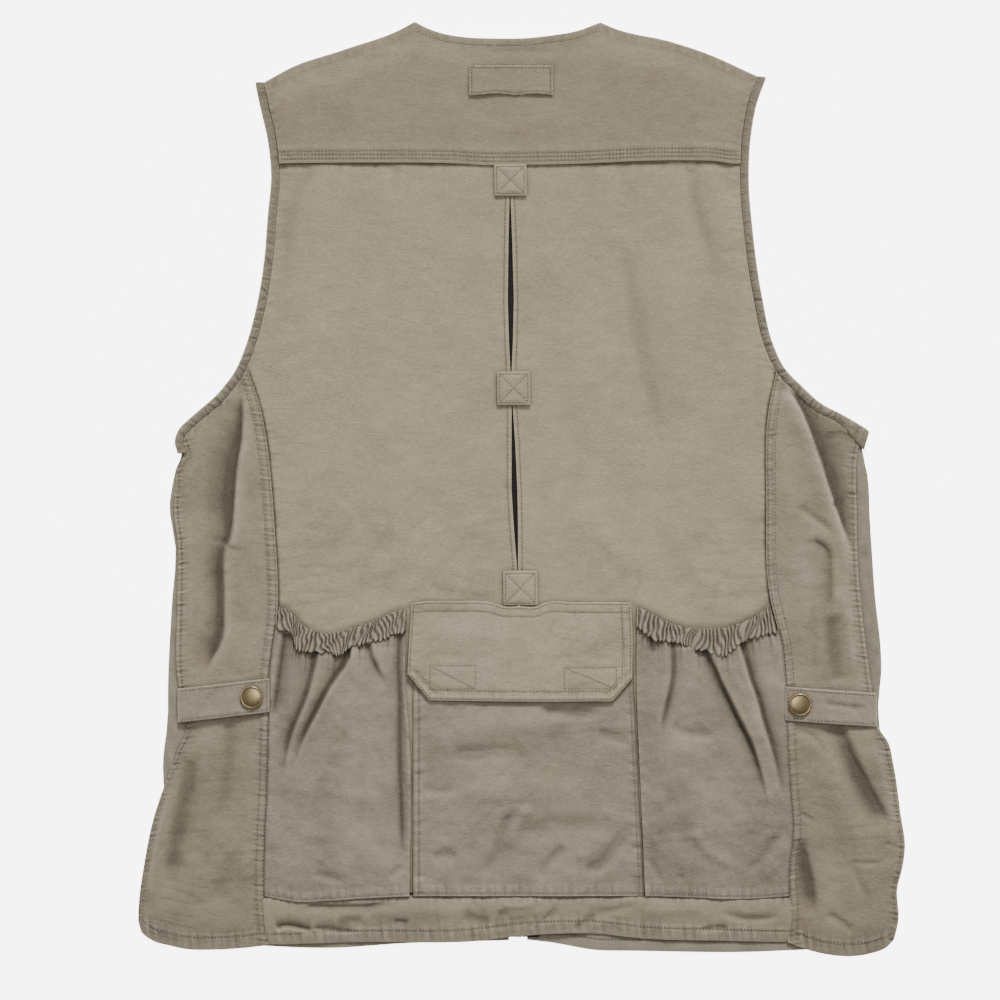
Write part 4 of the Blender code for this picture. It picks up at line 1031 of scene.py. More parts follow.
def make_tape(side):
    """A tape beside the teeth, with low ribs along it."""
    inner = ZIP_X + side * (CHAIN_WIDTH / 2 + GAP)
    outer = inner + side * TAPE_WIDTH
    low, high = sorted((inner, outer))
    length = ZIP_TOP_Y - ZIP_FOOT_Y
    left, right = (np.array(((x, ZIP_TOP_Y), (x, ZIP_FOOT_Y))) for x in (low, high))
    grid = straight_patch(left, right, stations(TAPE_WIDTH, (TAPE_WIDTH, 2.0)),
                          stations(length, (length, 6.0)))
    flat = np.zeros(grid.shape[:2])
    name = "zip_tape_" + side_name(side)
    ribs = 0.08 * np.cos(2.0 * np.pi * (grid[..., 0] - low) / 4.0)
    piece = cloth(name, grid, flat + RIM_LEVEL, flat, ribs, flat, TAPE_CLOTH, 31,
                  thick=TAPE_THICK, lowest=RIM_LEVEL, soft=0.05)
    declare(piece, name, allowance=0.0)


make_tape(-1)
make_tape(1)

# %% [markdown]
# Behind the vent lies black mesh. Its holes are too fine to show from a step away, so the net
# is left to the weave of its finish, and the sheet itself only sags a little.

# %% Vent mesh
Tab = namedtuple("Tab", "name left right top foot")
TABS = (Tab("tab_top", -21.5, 4.0, 253.2, 228.5), Tab("tab_middle", -19.4, 6.9, 91.6, 65.3),
        Tab("tab_bottom", -14.6, 12.6, -63.8, -90.9))
VENT_Y = np.array([row.y for row in VENT])
VENT_X = np.array([row.x for row in VENT])
VENT_HALF = np.array([row.half_open for row in VENT])
MESH_HALF_WIDTH, MESH_TUCK = 27.0, 14.0


def vent_line(y, side=0):
    """Where the vent's middle is at a height, or its left (-1) or right (1) edge."""
    half = np.maximum(VENT_HALF, HALF_GAP)
    return np.interp(-y, -VENT_Y, VENT_X + side * half)


def make_vent_mesh():
    """The mesh, centred on the vent's line from within the top tab to within the lowest."""
    y = np.linspace(TABS[0].foot + MESH_TUCK, TABS[2].top - MESH_TUCK, 60)
    left = np.column_stack((vent_line(y) - MESH_HALF_WIDTH, y))
    right = np.column_stack((vent_line(y) + MESH_HALF_WIDTH, y))
    width, height = 2 * MESH_HALF_WIDTH, y[0] - y[-1]
    grid = straight_patch(left, right, stations(width, (width, 2.2)), stations(height, (height, 3.0)))
    flat = np.zeros(grid.shape[:2])
    piece = cloth("vent_mesh", grid, flat + MESH_LEVEL, flat, flat, flat, BLACK_MESH, 37,
                  thick=MESH_CLOTH, lowest=MESH_LEVEL - 0.2, soft=0.15)
    declare(piece, "vent_mesh", allowance=3.0)


make_vent_mesh()

# %% [markdown]
# ## Back panels
#
# Each back panel hangs from the yoke and closes on the vent, whose edges are rolled and
# stitched. The long soft creases run down from the yoke towards the pockets, because the
# shoulders carry the weight of what hangs below.

# %% Back folds, positive for a ridge and negative for a valley
BACK_FOLDS = (
    Fold(-1.5, 9, 9, ((77.6, 197), (92, 125), (104, 60), (113, 15))),
    Fold(1.5, 14, 14, ((102, 190), (118, 110), (136, 20), (140, -30))),
    Fold(-1.3, 9, 9, ((131, 240), (147, 190), (163, 148))),
    Fold(1.4, 12, 12, ((158, 238), (171, 170), (176, 120))),
    Fold(1.2, 16, 16, ((20, 200), (44, 120), (58, 40))),
    Fold(-1.2, 12, 12, ((-178, 236), (-182, 180), (-190, 110))),
    Fold(1.2, 18, 18, ((-150, 225), (-152, 120), (-158, 20))),
    Fold(1.3, 18, 18, ((-70, 230), (-76, 120), (-84, 10))),
    Fold(1.6, 13, 13, ((-40, 0), (-72, -42), (-98, -76))),
    Fold(1.5, 13, 13, ((40, -10), (70, -48), (92, -76))),
)
BACK_CREASES = (
    Fold(-1.3, 5, 7, ((-161, 252), (-173, 233), (-182, 206), (-184, 147)), 0.05, 0.6),
    Fold(-0.9, 4, 6, ((-98, 252), (-99, 240), (-100, 222)), 0.05, 0.7),
    Fold(-0.9, 5, 5, ((76, 252), (82, 234), (88, 215)), 0.05, 0.7),
    Fold(-1.5, 6, 4, ((131, 252), (137, 214), (145, 190), (156, 159)), 0.05, 0.5),
    Fold(-1.1, 4, 6, ((161, 254), (161, 238), (162, 218)), 0.05, 0.6),
    Fold(0.8, 4, 4, ((146, 252), (150, 225), (156, 200)), 0.05, 0.6),
    Fold(-0.7, 2.5, 2.5, ((154, 182), (165, 185), (176, 187))),
    Fold(-0.9, 7, 4.5, ((74, 200), (81, 177), (86, 147), (90, 116), (101, 70),
         (113, 21)), 0.15, 0.3),
    Fold(-0.8, 6, 5, ((184, 110), (184, 60), (184, 5))),
    Fold(1.1, 5, 7, ((-15, -15), (-40, -33), (-64, -55), (-95, -86)), 0.2, 0.15),
    Fold(0.8, 4, 5, ((-79, -32), (-92, -50), (-107, -72))),
    Fold(-0.9, 5, 5, ((61, -43), (69, -57), (77, -73))),
    Fold(-1.1, 4, 6, ((-73, -74), (-62, -80), (-48, -81))),
    Fold(-1, 4, 5, ((-50, -85), (-33, -85.5), (-15, -85))),
    Fold(0.7, 6, 9, ((-120, 60), (-90, 20), (-60, -5))),
    Fold(-0.7, 9, 6, ((-150, 10), (-120, -30), (-100, -62))),
    Fold(0.8, 7, 7, ((110, -20), (130, -50), (146, -88))),
    Fold(-0.7, 6, 6, ((96, -10), (112, -46), (120, -84))),
)
HIDDEN_FROM_Y = -112.0


def lower_edge_rows(length, top_y):
    """Close rows where a back panel shows, and wide ones where the pockets cover it."""
    return stations(length, (top_y - HIDDEN_FROM_Y, 1.85), (length, 9.0))


def make_back(name, lines, seed):
    """A back panel: outside it follows the armhole and then runs a little way under the side
    panel, inside it ends at the vent's edge."""
    side = lines.side
    seam = lines.seam[lines.seam[:, 1] >= HEM_SEAM_Y]
    outer = joined(lines.back, seam[seam[:, 1] < lines.back[-1, 1]])
    outer[:, 0] += side * LAP_TUCK * ease((100.0 - outer[:, 1]) / 12.0)
    outer[0, 1] += LAP_TUCK
    inner = np.column_stack((vent_line(outer[:, 1], side), outer[:, 1]))
    left, right = in_order(side, outer, inner)
    grid = straight_patch(left, right, close_ends(200.0, 1.85, 6.5),
                          lower_edge_rows(lengths(outer)[-1], outer[0, 1]))
    x, y, reach = laid_out(grid)
    vent_side, seam_side = side_name(-side), side_name(side)
    edges = (
        Edge(vent_side, 3.2, 0.5, (3.2,), 0.1, 5.0, seed),
        Edge(seam_side, 6.0, 0.0, (), 0.24, 5.6, seed + 4),
        Edge("top", 6.0, -0.2, (), 0.15, 9.0, seed + 8),
    )
    fine, wear = sewn(reach, edges)
    rim = ease(from_rim(x, y) / FOLD_REACH)
    under_yoke = ease((outer[0, 1] - y) / 5.0)
    folds = (0.8 * relief(BACK_FOLDS, x, y) * rim + 0.9 * relief(BACK_CREASES, x, y)) * under_yoke
    folds *= ease((y - HIDDEN_FROM_Y + 14.0) / 16.0)
    from_seam = getattr(reach, seam_side)
    under_side = ease((6.0 - from_seam) / 6.0) * ease((100.0 - y) / 12.0)
    level = back_level(x, y) - 0.5 * under_side - 0.15 * (1 - under_yoke)
    quiet = 1.0 - 0.8 * under_side
    # Painted shade: a dark line on the back beside the side panel's lap and below the yoke's lap, and a
    # painted shadow above the pocket mouth.
    below_seam = ease((96.0 - y) / 6.0)
    beside_lap = 1.3 * below_seam * bell(from_seam - LAP_TUCK, 1.3)
    mouth = smooth_line(CASING_TOP_LEFT if side < 0 else CASING_TOP_RIGHT, 40)
    mouth_away, mouth_hand = near(mouth, x, y)[:2]
    above_mouth = 0.55 * bell(mouth_away, 4.0) * (mouth_hand > 0)
    below_yoke = 0.9 * bell(reach.top - LAP_TUCK, 1.6)
    piece = cloth(name, grid, level, folds * quiet, fine * quiet, wear, BACK_CANVAS, seed,
                  lowest=LOWEST, soft=0.36, crease=0.08 + 0.3 * ease((30.0 - y) / 110.0),
                  dark=beside_lap + below_yoke + above_mouth)
    sew(piece, edges)
    declare(piece, name)


make_back("back_left", LEFT, 41)
make_back("back_right", RIGHT, 59)

# %% [markdown]
# ## Side panels
#
# The side panels lap over the back panels: their edge is turned under and stitched twice. They
# were pressed flat though they are cut to go round the body, so their spare cloth has folded
# over itself in a few deep tucks, soft on one hand and sharp on the other.

# %% Side folds
SIDE_FOLDS_LEFT = (
    Fold(3.2, 10, 12, ((-209, 62), (-212, 10), (-214, -60), (-217, -140))),
    *tuck(2.6, 1.6, 6, 2, 1, ((-219.8, 76), (-219.6, 55), (-220.5, 38), (-224.5, 14), (-226.3, -9),
          (-228, -32), (-231.5, -46)), 0.12, 0.04),
    *tuck(4.4, 0.3, 17, 2, 1, ((-219.6, 70), (-220.5, 38), (-224.5, 14), (-226.3, -9), (-228, -32),
          (-232, -56)), 0.4, 0.35),
    *tuck(5.4, 1.4, 9, 2, 1, ((-229.5, -34), (-234.2, -50), (-234.5, -88), (-236, -118),
          (-245, -137), (-250, -150)), 0.22, 0.25),
    Fold(2.2, 8, 8, ((-250, 48), (-256, 0), (-256, -60), (-256, -135))),
    Fold(3, 8, 8, ((-261, -195), (-273, -226), (-286, -275), (-291, -330)), 0.08, 0.3),
    Fold(-3.8, 9, 6, ((-256, -200), (-265, -248), (-274, -294), (-278, -318)), 0.25, 0.25),
    Fold(2.8, 9, 9, ((-243, -186), (-247, -240), (-256, -300), (-260, -335)), 0.1, 0.3),
    Fold(-2.4, 7, 5, ((-228.5, -182), (-229.7, -211), (-233, -240), (-240, -275)), 0.05, 0.35),
    Fold(-1.6, 9, 7, ((-224, -280), (-232, -305), (-246, -330)), 0.3, 0.3),
    Fold(2.4, 9, 9, ((-212, -190), (-213, -260), (-216, -330))),
)
SIDE_FOLDS_RIGHT = (
    Fold(2.2, 4, 11, ((204, 78), (209.4, 73), (225, 38), (240.6, -8.6), (252.3, -39.8), (264, -67),
         (270, -80)), 0.06, 0.2),
    *tuck(5.2, 1.4, 13, 2, -1, ((208, 80), (213.5, 73), (229.5, 38), (245, -8.6), (256, -39.8),
          (266, -64)), 0.08, 0.3),
    Fold(3, 11, 11, ((207, 20), (214, -40), (217, -100), (218, -142))),
    Fold(-2, 2, 3, ((241, -14.5), (250, -8), (256, -5))),
    Fold(-2.2, 4.5, 4.5, ((241, 20), (242, 10), (243.5, -1)), 0.3, 0.3),
    Fold(-1.6, 2.5, 3, ((234.7, 37), (243, 41.5), (250.7, 42), (261, 34)), 0.3, 0.3),
    Fold(-1.7, 3.6, 2.8, ((214, -12.9), (225, -20.9), (236, -29), (242, -36)), 0.2, 0.2),
    *tuck(2.2, 0.7, 7, 2.4, 1, ((219, -46), (229, -41), (238, -47), (240.6, -66), (240.6, -87),
          (238, -104)), 0.2, 0.3),
    Fold(-3.4, 7, 5, ((241, -96), (243, -125), (246, -153)), 0.2, 0.1),
    Fold(-1.2, 2.5, 3, ((227, -90), (228, -120), (228, -153))),
    Fold(2.6, 7, 7, ((251, -75), (254, -110), (258, -150))),
    Fold(3.2, 12, 12, ((236, -188), (248, -240), (262, -290), (262, -336)), 0.1, 0.3),
    Fold(-5.2, 4, 11, ((246, -180), (250.3, -192), (258, -211.4), (268.2, -230.9), (281, -254),
         (290, -268)), 0.05, 0.25),
    Fold(-1.2, 2.5, 3, ((211, -188), (223.4, -190.3), (232.8, -199.7), (238, -212)), 0.1, 0.4),
    Fold(2.6, 8, 9, ((274, -198), (287, -232), (291, -290))),
    Fold(-5, 4, 9, ((216.4, -272), (220.5, -292), (225, -311), (227, -338)), 0.25, 0.35),
    Fold(-1, 2, 3, ((215, -252), (223, -256), (231, -260.5))),
    Fold(-1.5, 3, 4, ((237.5, -330.7), (252.3, -340.1), (258.5, -348))),
    Fold(-1.4, 4, 4, ((256, -288), (264, -308.9), (270.2, -320.6))),
    Fold(-0.9, 2, 2, ((256, -290.5), (270, -292), (284, -291))),
    Fold(-0.8, 2, 2, ((283, -277), (291, -278), (296, -279))),
)
# Painted shade only: soft dark bands with no relief under them.
SIDE_SHADES_LEFT = (
    Fold(0.16, 10, 9, ((-255, -190), (-262, -240), (-272, -294), (-279, -340)), 0.45, 0.45),
)
SIDE_SHADES_RIGHT = (
    Fold(0.22, 9, 10, ((238, -60), (240, -110), (243, -172)), 0.45, 0.2),
    Fold(0.26, 7, 9, ((243, -182), (254, -210), (265, -234), (279, -256), (294, -280)), 0.1, 0.5),
    Fold(0.22, 6, 9, ((214, -262), (219, -292), (223.5, -312), (227, -348)), 0.4, 0.45),
)
Strap = namedtuple("Strap", "name outer_x outer_top inner_x inner_top snap_x snap_y")
STRAPS = (Strap("left", -268.4, -155.9, -196.3, -147.4, -210.2, -162.2),
          Strap("right", 277.6, -159.2, 205.4, -154.0, 216.7, -167.9))
STRAP_HOLD, STRAP_PRESS = 24.0, 0.75
LOW_SHADE, LOW_SHADE_Y = 0.21, -165.0


def make_side_panel(name, lines, edge_points, hem_points, folds, shades, strap, seed):
    """A side panel, from the armhole to the hem and from its lap over the back to the side
    seam. Its folds grow from the lap inwards, and the strap presses them down."""
    side = lines.side
    at_seam = moved(lines.seam, x=side * HALF_GAP)
    corner_end = lines.corner[-1]
    at_side = smooth_line((corner_end, *edge_points[1:]), 200)
    if len(lines.corner) > 1:
        at_side = joined(lines.corner, at_side)
    armhole = lines.side_top.copy()
    armhole[0], armhole[-1] = at_seam[0], at_side[0]
    hem = smooth_line(hem_points, 80)
    hem[0], hem[-1] = at_seam[-1], at_side[-1]
    left, right = in_order(side, at_side, at_seam)
    grid = patch(armhole[::side], hem[::side], left, right,
                 close_ends(96.0, 1.2), close_ends(450.0, 1.0, 12.0, 0.8))
    x, y, reach = laid_out(grid)
    seam_side, free_side = side_name(-side), side_name(side)
    edges = (
        Edge(seam_side, 7.5, LAP_RISE - 0.5, (1.8, 7.4), 0.38, 3.9, seed),
        Edge(free_side, 4.5, 0.3, (3.4,), 0.5, 4.0, seed + 3),
        Edge("foot", 11.0, 0.35, (9.6,), 0.34, 6.0, seed + 6),
        Edge("top", 3.0, 0.2, (), 0.3, 5.0, seed + 9),
    )
    fine, wear = sewn(reach, edges)
    middle = (strap.outer_top + strap.inner_top - STRAP_WIDTH) / 2
    held = 1.0 - STRAP_PRESS * bell(y - middle, STRAP_HOLD)
    lap = getattr(reach, seam_side)
    free = ease(from_rim(x, y) / FOLD_REACH) * held * (0.35 + 0.65 * ease(lap / 14.0))
    inner = ease(lap / 8.0) * ease(from_rim(x, y) / 6.0) * (0.4 + 0.6 * held)
    # The colour darkens towards the hem. Painted shade lies in the tucks and in the shade bands, and a
    # painted highlight along the tucks' lips.
    dark = LOW_SHADE * ease((LOW_SHADE_Y - y) / 40.0)
    dark = dark + (0.5 * nooks(folds, x, y) + relief(shades, x, y)) * inner
    wear += 0.9 * crests(folds, x, y) * inner
    folds = relief(folds, x, y) * free
    piece = cloth(name, grid, back_level(x, y), folds, fine, wear, SIDE_CANVAS, seed,
                  lowest=LOWEST, soft=0.75, crease=0.16 + 0.1 * ease((-150.0 - y) / 60.0), dark=dark)
    sew(piece, edges)
    declare(piece, name)


make_side_panel("side_panel_left", LEFT, SIDE_EDGE_LEFT, SIDE_HEM_LEFT[::-1],
                SIDE_FOLDS_LEFT, SIDE_SHADES_LEFT, STRAPS[0], 71)
make_side_panel("side_panel_right", RIGHT, SIDE_EDGE_RIGHT, SIDE_HEM_RIGHT,
                SIDE_FOLDS_RIGHT, SIDE_SHADES_RIGHT, STRAPS[1], 83)

# %% [markdown]
# ## Hem band and yoke
#
# The hem band finishes the back between the side panels. The yoke takes the shoulders. It laps
# over the back panels with three stitched rows, which pull a row of short ticks into it.

# %% Hem band
HEM_RISE = 1.4
HEM_CREASES = (
    *tuck(1.5, 0.6, 4.5, 1.2, -1, ((-192.3, -343.2), (-185.3, -340.9), (-175.9, -341.7),
          (-166.6, -344), (-161.1, -344.8)), 0.1, 0.2),
    *tuck(1.2, 0.5, 3.5, 1.2, -1, ((-163, -343), (-143.2, -344.8), (-126, -346)), 0.1, 0.3),
    Fold(-1, 1.8, 5, ((-173.6, -332.3), (-166.6, -326.1), (-149.4, -326.1), (-118.2, -325.3),
         (-94.8, -322.9))),
    Fold(-0.9, 5, 5, ((-145, -340), (-133, -337), (-122, -341))),
    Fold(-0.9, 2.5, 3, ((-101, -337.8), (-94.8, -337), (-87, -339.3))),
    Fold(0.7, 6, 6, ((-120, -332), (-60, -328), (-26, -330))),
    Fold(-0.9, 5, 6, ((-48, -332), (-36, -336), (-22, -340))),
    Fold(-0.9, 2, 5, ((-17.6, -346), (-17.6, -335), (-14, -326)), 0.2, 0.3),
    Fold(-0.5, 4, 5, ((-12, -337), (-2, -338), (8, -337)), 0.3, 0.3),
    Fold(0.5, 2.5, 2.5, ((-17, -324.5), (-2, -325.5), (12, -324.5))),
    Fold(-0.6, 2.5, 3, ((7.4, -344), (9, -337), (9.7, -331)), 0.2, 0.4),
    Fold(-0.9, 2.5, 4.5, ((12, -341), (21.4, -333), (30, -323.5)), 0.3, 0.4),
    Fold(-0.9, 3, 4.5, ((38, -344), (49, -338.5), (61, -329.2)), 0.3, 0.4),
    Fold(-0.6, 3, 4, ((56, -331.2), (72.9, -328.4), (92.4, -322.9)), 0.3, 0.4),
    Fold(0.7, 5, 5, ((92, -331), (116, -328), (146, -326))),
    Fold(-0.9, 4.5, 2.5, ((150, -328), (168.8, -334.6), (189.7, -335.6), (206.2, -331)), 0.4, 0.3),
    Fold(-0.9, 2.5, 2.5, ((138, -344.6), (150, -342.5), (163, -342.4))),
)


def make_hem_band(seed=97):
    """The hem band, between the side panels and tucked a little under them."""
    heights = np.linspace(HEM_SEAM_Y - HALF_GAP, -356.0, 40)
    foot = smooth_line(BACK_HEM, 200)
    left = stretch(LEFT.seam, HEM_SEAM_Y - HALF_GAP, foot[0, 1]) + (GAP, 0.0)
    right = stretch(RIGHT.seam, HEM_SEAM_Y - HALF_GAP, foot[-1, 1]) - (GAP, 0.0)
    left[:, 0] -= LAP_TUCK * ease((left[:, 1] - foot[0, 1]) / 3.0)
    right[:, 0] += LAP_TUCK * ease((right[:, 1] - foot[-1, 1]) / 3.0)
    foot[0], foot[-1] = left[-1], right[-1]
    grid = patch(np.stack((left[0], right[0])), foot, left, right,
                 stations(404.0, (404.0, 1.15)), stations(heights[0] - heights[-1], (60.0, 0.85)))
    x, y, reach = laid_out(grid)
    edges = (
        Edge("foot", 11.0, 0.35, (9.8,), 0.34, 6.4, seed),
        Edge("top", 4.0, 0.2, (), 0.25, 6.0, seed + 3),
    )
    fine, wear = sewn(reach, edges)
    ends = np.minimum(reach.left, reach.right)
    raised = HEM_RISE * ease(reach.foot / 9.0) * ease(reach.top / 7.0)
    level = back_level(x, y) - 0.5 * ease((6.0 - ends) / 6.0) + raised
    free = ease(reach.foot / 3.0) * ease(ends / 6.0)
    folds = 1.9 * relief(HEM_CREASES, x, y) * free
    # Painted highlight along the lips, a painted shadow under the pockets' foot along the top edge, and
    # painted shade in the creases.
    wear += crests(HEM_CREASES, x, y) * free
    dark = 0.9 * bell(reach.top, 1.6) + 0.9 * nooks(HEM_CREASES, x, y) * free
    piece = cloth("hem_band", grid, level, folds, fine, wear, SIDE_CANVAS, seed,
                  lowest=LOWEST, soft=0.7, crease=0.2, dark=dark)
    sew(piece, edges)
    declare(piece, "hem_band", allowance=5.0)


make_hem_band()

# %% [markdown]
# The yoke could be cut in one with the back, but a seam there lets the shoulders slope. It is
# the top layer, so it is made like a back panel with a lap at its foot, and lies nearly smooth.

# %% Yoke
YOKE_CREASES = (
    Fold(-0.7, 2.5, 2.5, ((-29, 340.5), (0, 341.5), (30, 341))),
    Fold(0.7, 16, 16, ((-150, 320), (-120, 290), (-100, 262))),
    Fold(-0.6, 12, 12, ((-185, 300), (-150, 285), (-135, 265))),
    Fold(0.6, 14, 14, ((90, 345), (120, 315), (130, 280))),
    Fold(-0.6, 10, 10, ((55, 330), (75, 300), (80, 275))),
    Fold(0.5, 9, 9, ((-70, 300), (-40, 285), (20, 283), (60, 292))),
)
YOKE_UNDER, NECK_ROW = 0.6, 5.4


def make_yoke(seed=113):
    """The yoke: its top edge follows shoulder, neck and shoulder, its foot is the lapped seam."""
    left, right = LEFT.yoke.copy(), RIGHT.yoke.copy()
    foot = smooth_line((left[-1], *YOKE_SEAM[1:-1], right[-1]), 300)
    shoulder_left = smooth_line((left[0], *SHOULDER_LEFT[1:]), 60)
    shoulder_right = smooth_line((*SHOULDER_RIGHT[:-1], right[0]), 60)
    top = joined(shoulder_left, smooth_line(NECK, 80), shoulder_right)
    grid = patch(top, foot, left, right, stations(415.0, (415.0, 1.6)), close_ends(104.0, 1.75, 10.5))
    x, y, reach = laid_out(grid)
    edges = (
        Edge("foot", 9.5, 0.0, (3.2, 6.3, 9.4), 0.13, 5.0, seed),
        Edge("top", 5.5, 0.3, (), 0.18, 7.0, seed + 3),
        Edge("left", 2.0, 0.1, (), 0.25, 6.5, seed + 6),
        Edge("right", 2.0, 0.1, (), 0.25, 6.5, seed + 9),
    )
    fine, wear = sewn(reach, edges)
    ticks = np.cos(2.0 * np.pi * (x + 0.4 * ripple(x / 40.0, seed)) / 2.9)
    fine += 0.13 * ticks * bell(reach.foot - 6.3, 4.0)
    # Painted light and shade on the ticks: paler on their crests, darker between them.
    wear += 0.8 * ticks * bell(reach.foot - 6.3, 4.5)
    by_neck = ease((x - NECK[0][0]) / 4.0) * ease((NECK[-1][0] - x) / 4.0)
    fine -= GROOVE * by_neck * bell(reach.top - NECK_ROW, GROOVE_WIDTH)
    lap = 1.0 - ease((reach.foot - 10.0) / 6.0)
    level = back_level(x, y) + YOKE_UNDER + 0.8 * lap
    folds = relief(YOKE_CREASES, x, y) * ease(from_rim(x, y) / FOLD_REACH)
    piece = cloth("yoke", grid, level, folds, fine, wear, YOKE_CANVAS, seed,
                  thick=1.4, lowest=LOWEST, soft=0.3, crease=0.1)
    sew(piece, edges)
    sew_line(piece, *offset_line(smooth_line(NECK, 60), -NECK_ROW)[2:-2])
    declare(piece, "yoke")


make_yoke()

# %% [markdown]
# ## Armhole bindings
#
# A bias strip is folded over the raw edge and stretched as it is sewn, so it draws itself into
# close slanting puckers. It is a low crown carried along the armhole, and the puckers are a
# wave along it that leans with the distance across.

# %% Bindings
BINDING_GAP, PUCKER_PITCH = 0.05, 4.6


def make_binding(name, lines, flare_width, seed):
    """A binding, whose inner edge flares over the side panel in its last stretch."""
    inner = joined(lines.yoke, lines.back, lines.side_top, lines.corner)
    across = np.array((0.0, 0.35, 1.0, 1.9, 2.9, 3.9, 4.9, 5.9, 6.5, BINDING_WIDTH))
    count = round(lengths(inner)[-1] / 1.05)
    inner = read_line(inner, np.linspace(0.0, 1.0, count))
    bends = lengths(inner)[:, None]
    swell = 0.45 * ripple(bends / 7.0, seed)
    flare = flare_width * ease((bends[:, 0] - lengths(inner)[-1] + 24.0) / 24.0)
    drawn_in = [flare * (1.0 - away / BINDING_WIDTH) for away in across]
    strips = [offset_line(inner, lines.side * (BINDING_GAP + away - drawn))
              for away, drawn in zip(across, drawn_in)]
    grid = np.stack(strips[::lines.side], axis=1)
    away = across[::lines.side][None, :]
    share = away / BINDING_WIDTH
    grid += (flare[:, None] * (1.0 - share))[..., None] * (1.1 * lines.side, -1.1)
    amount = 0.26 + 0.36 * ease((inner[:, 1:2] - 10.0) / 60.0) * ease((220.0 - inner[:, 1:2]) / 70.0)
    slant = 0.8 * ripple(bends / 23.0, seed + 5) * away
    lean = ripple((bends + slant + 1.6 * ripple(bends / 17.0, seed + 6)) / PUCKER_PITCH, seed + 1)
    crown = 0.85 * np.sin(np.pi * np.clip(share, 0.02, 0.98)) ** 0.6
    fine = amount * lean * np.clip(np.sin(np.pi * share), 0.0, 1.0) ** 0.5 - 0.3 * bell(away - 1.6, 0.6)
    # The puckers are painted light on their crests and painted shade in their troughs; the folded edge is
    # rubbed pale, and the swell makes the tone uneven.
    wear = 1.1 * lean * amount + 0.9 * bell(away, 1.0) + 0.1 * swell
    edge = 0.7 * bell(np.minimum(away, BINDING_WIDTH - away), 0.5)
    over = RIM_LEVEL + 1.75 + crown + fine - edge + 1.3 * flare[:, None] / 8.0
    under = np.maximum(RIM_LEVEL + 0.1 * swell + 0.1, 0.2) + 0.5 * edge
    shade = 1.1 * np.clip(-lean * amount, 0.0, 1.0)
    under = np.broadcast_to(under, over.shape)
    piece = shell(name, grid, under, over, wear, shade, BINDING_CLOTH)
    sew_line(piece, *offset_line(inner, lines.side * (2 * GAP + 1.7)))
    declare(piece, name, allowance=2.0,
            strip=(BINDING_WIDTH, lengths(inner)[-1]))


make_binding("armhole_binding_left", LEFT, 0.0, 127)
make_binding("armhole_binding_right", RIGHT, 6.0, 131)

# %% [markdown]
# ## Gathered pockets
#
# Each of the two side pockets has an elastic casing at its mouth. The elastic draws the cloth
# in, so the casing is a row of close ridges, uneven in width and height, and from it the bag
# below falls in a few deep slanting pleats that fade towards its foot.

# %% Pocket lines and pleats
POCKET_LEFT_INNER = ((-89.9, -93.6), (-89.9, -165), (-88, -185), (-87.3, -317.5))
POCKET_RIGHT_INNER = ((89.6, -91.3), (89.8, -165), (92.4, -226), (96.4, -317.5))
CASING_FOOT_LEFT = (
    (-191.2, -108.4), (-180.6, -111), (-175.1, -124), (-151.7, -127.2), (-143.9, -129.3),
    (-132.2, -123), (-107.3, -116.6), (-89.9, -110.8),
)
CASING_FOOT_RIGHT = (
    (89.6, -107.6), (105.7, -117.6), (119.7, -119.6), (140.8, -125.8), (160.3, -128.8),
    (168, -122), (182.1, -114.9), (198.6, -112.4),
)
POCKET_FOOT_Y = -317.5
SAG_LEFT = ((-188.4, -320), (-172.8, -322), (-149.4, -321), (-120, -319))
SAG_RIGHT = ((110, -317.8), (140, -318.9), (180, -319.6))
PLEATS_LEFT = (
    *tuck(3.2, 1.2, 5, 1.3, 1, ((-159.4, -122), (-163.4, -143.5), (-168.1, -161.5), (-174.4, -177),
          (-181, -193.5), (-185, -212), (-188.5, -236)), 0.02, 0.45),
    *tuck(4, 1.3, 5, 1.1, 1, ((-133.8, -122), (-135.8, -133.4), (-142.8, -143.5), (-150.4, -155),
          (-156.8, -167), (-163.2, -179.4), (-169.7, -192), (-176.7, -211),
          (-181, -228)), 0.02, 0.45),
    *tuck(2.4, 0.7, 4.5, 1.8, 1, ((-119.5, -120), (-118.6, -126), (-113.5, -138.9),
          (-106, -153)), 0.05, 0.4),
    *tuck(4.2, 1.2, 1.6, 3.4, 1, ((-94.5, -108), (-96.2, -133.4), (-95, -159), (-95, -205),
          (-93.5, -250), (-92.6, -292)), 0.03, 0.2),
    *tuck(3.6, 1, 3.4, 1.6, -1, ((-184, -112), (-187.6, -133), (-191, -157),
          (-194.4, -182)), 0.02, 0.3),
    Fold(1.6, 6, 8, ((-150, -128), (-158, -152), (-171, -186), (-178, -225)), 0.05, 0.5),
    Fold(1.9, 8, 9, ((-124, -124), (-132, -160), (-146, -200), (-152, -240)), 0.05, 0.5),
    Fold(1.2, 6, 7, ((-106, -122), (-104, -160), (-104, -230)), 0.05, 0.5),
    Fold(-1.1, 9, 5, ((-143, -205), (-158, -240), (-164, -270))),
    Fold(-1, 8, 6, ((-120, -190), (-126, -235), (-124, -275))),
    Fold(-1.3, 3, 4, ((-163, -298), (-149.4, -302.7), (-136, -306.5))),
    Fold(-1.1, 3, 3, ((-104, -302), (-98, -298), (-94, -292))),
)
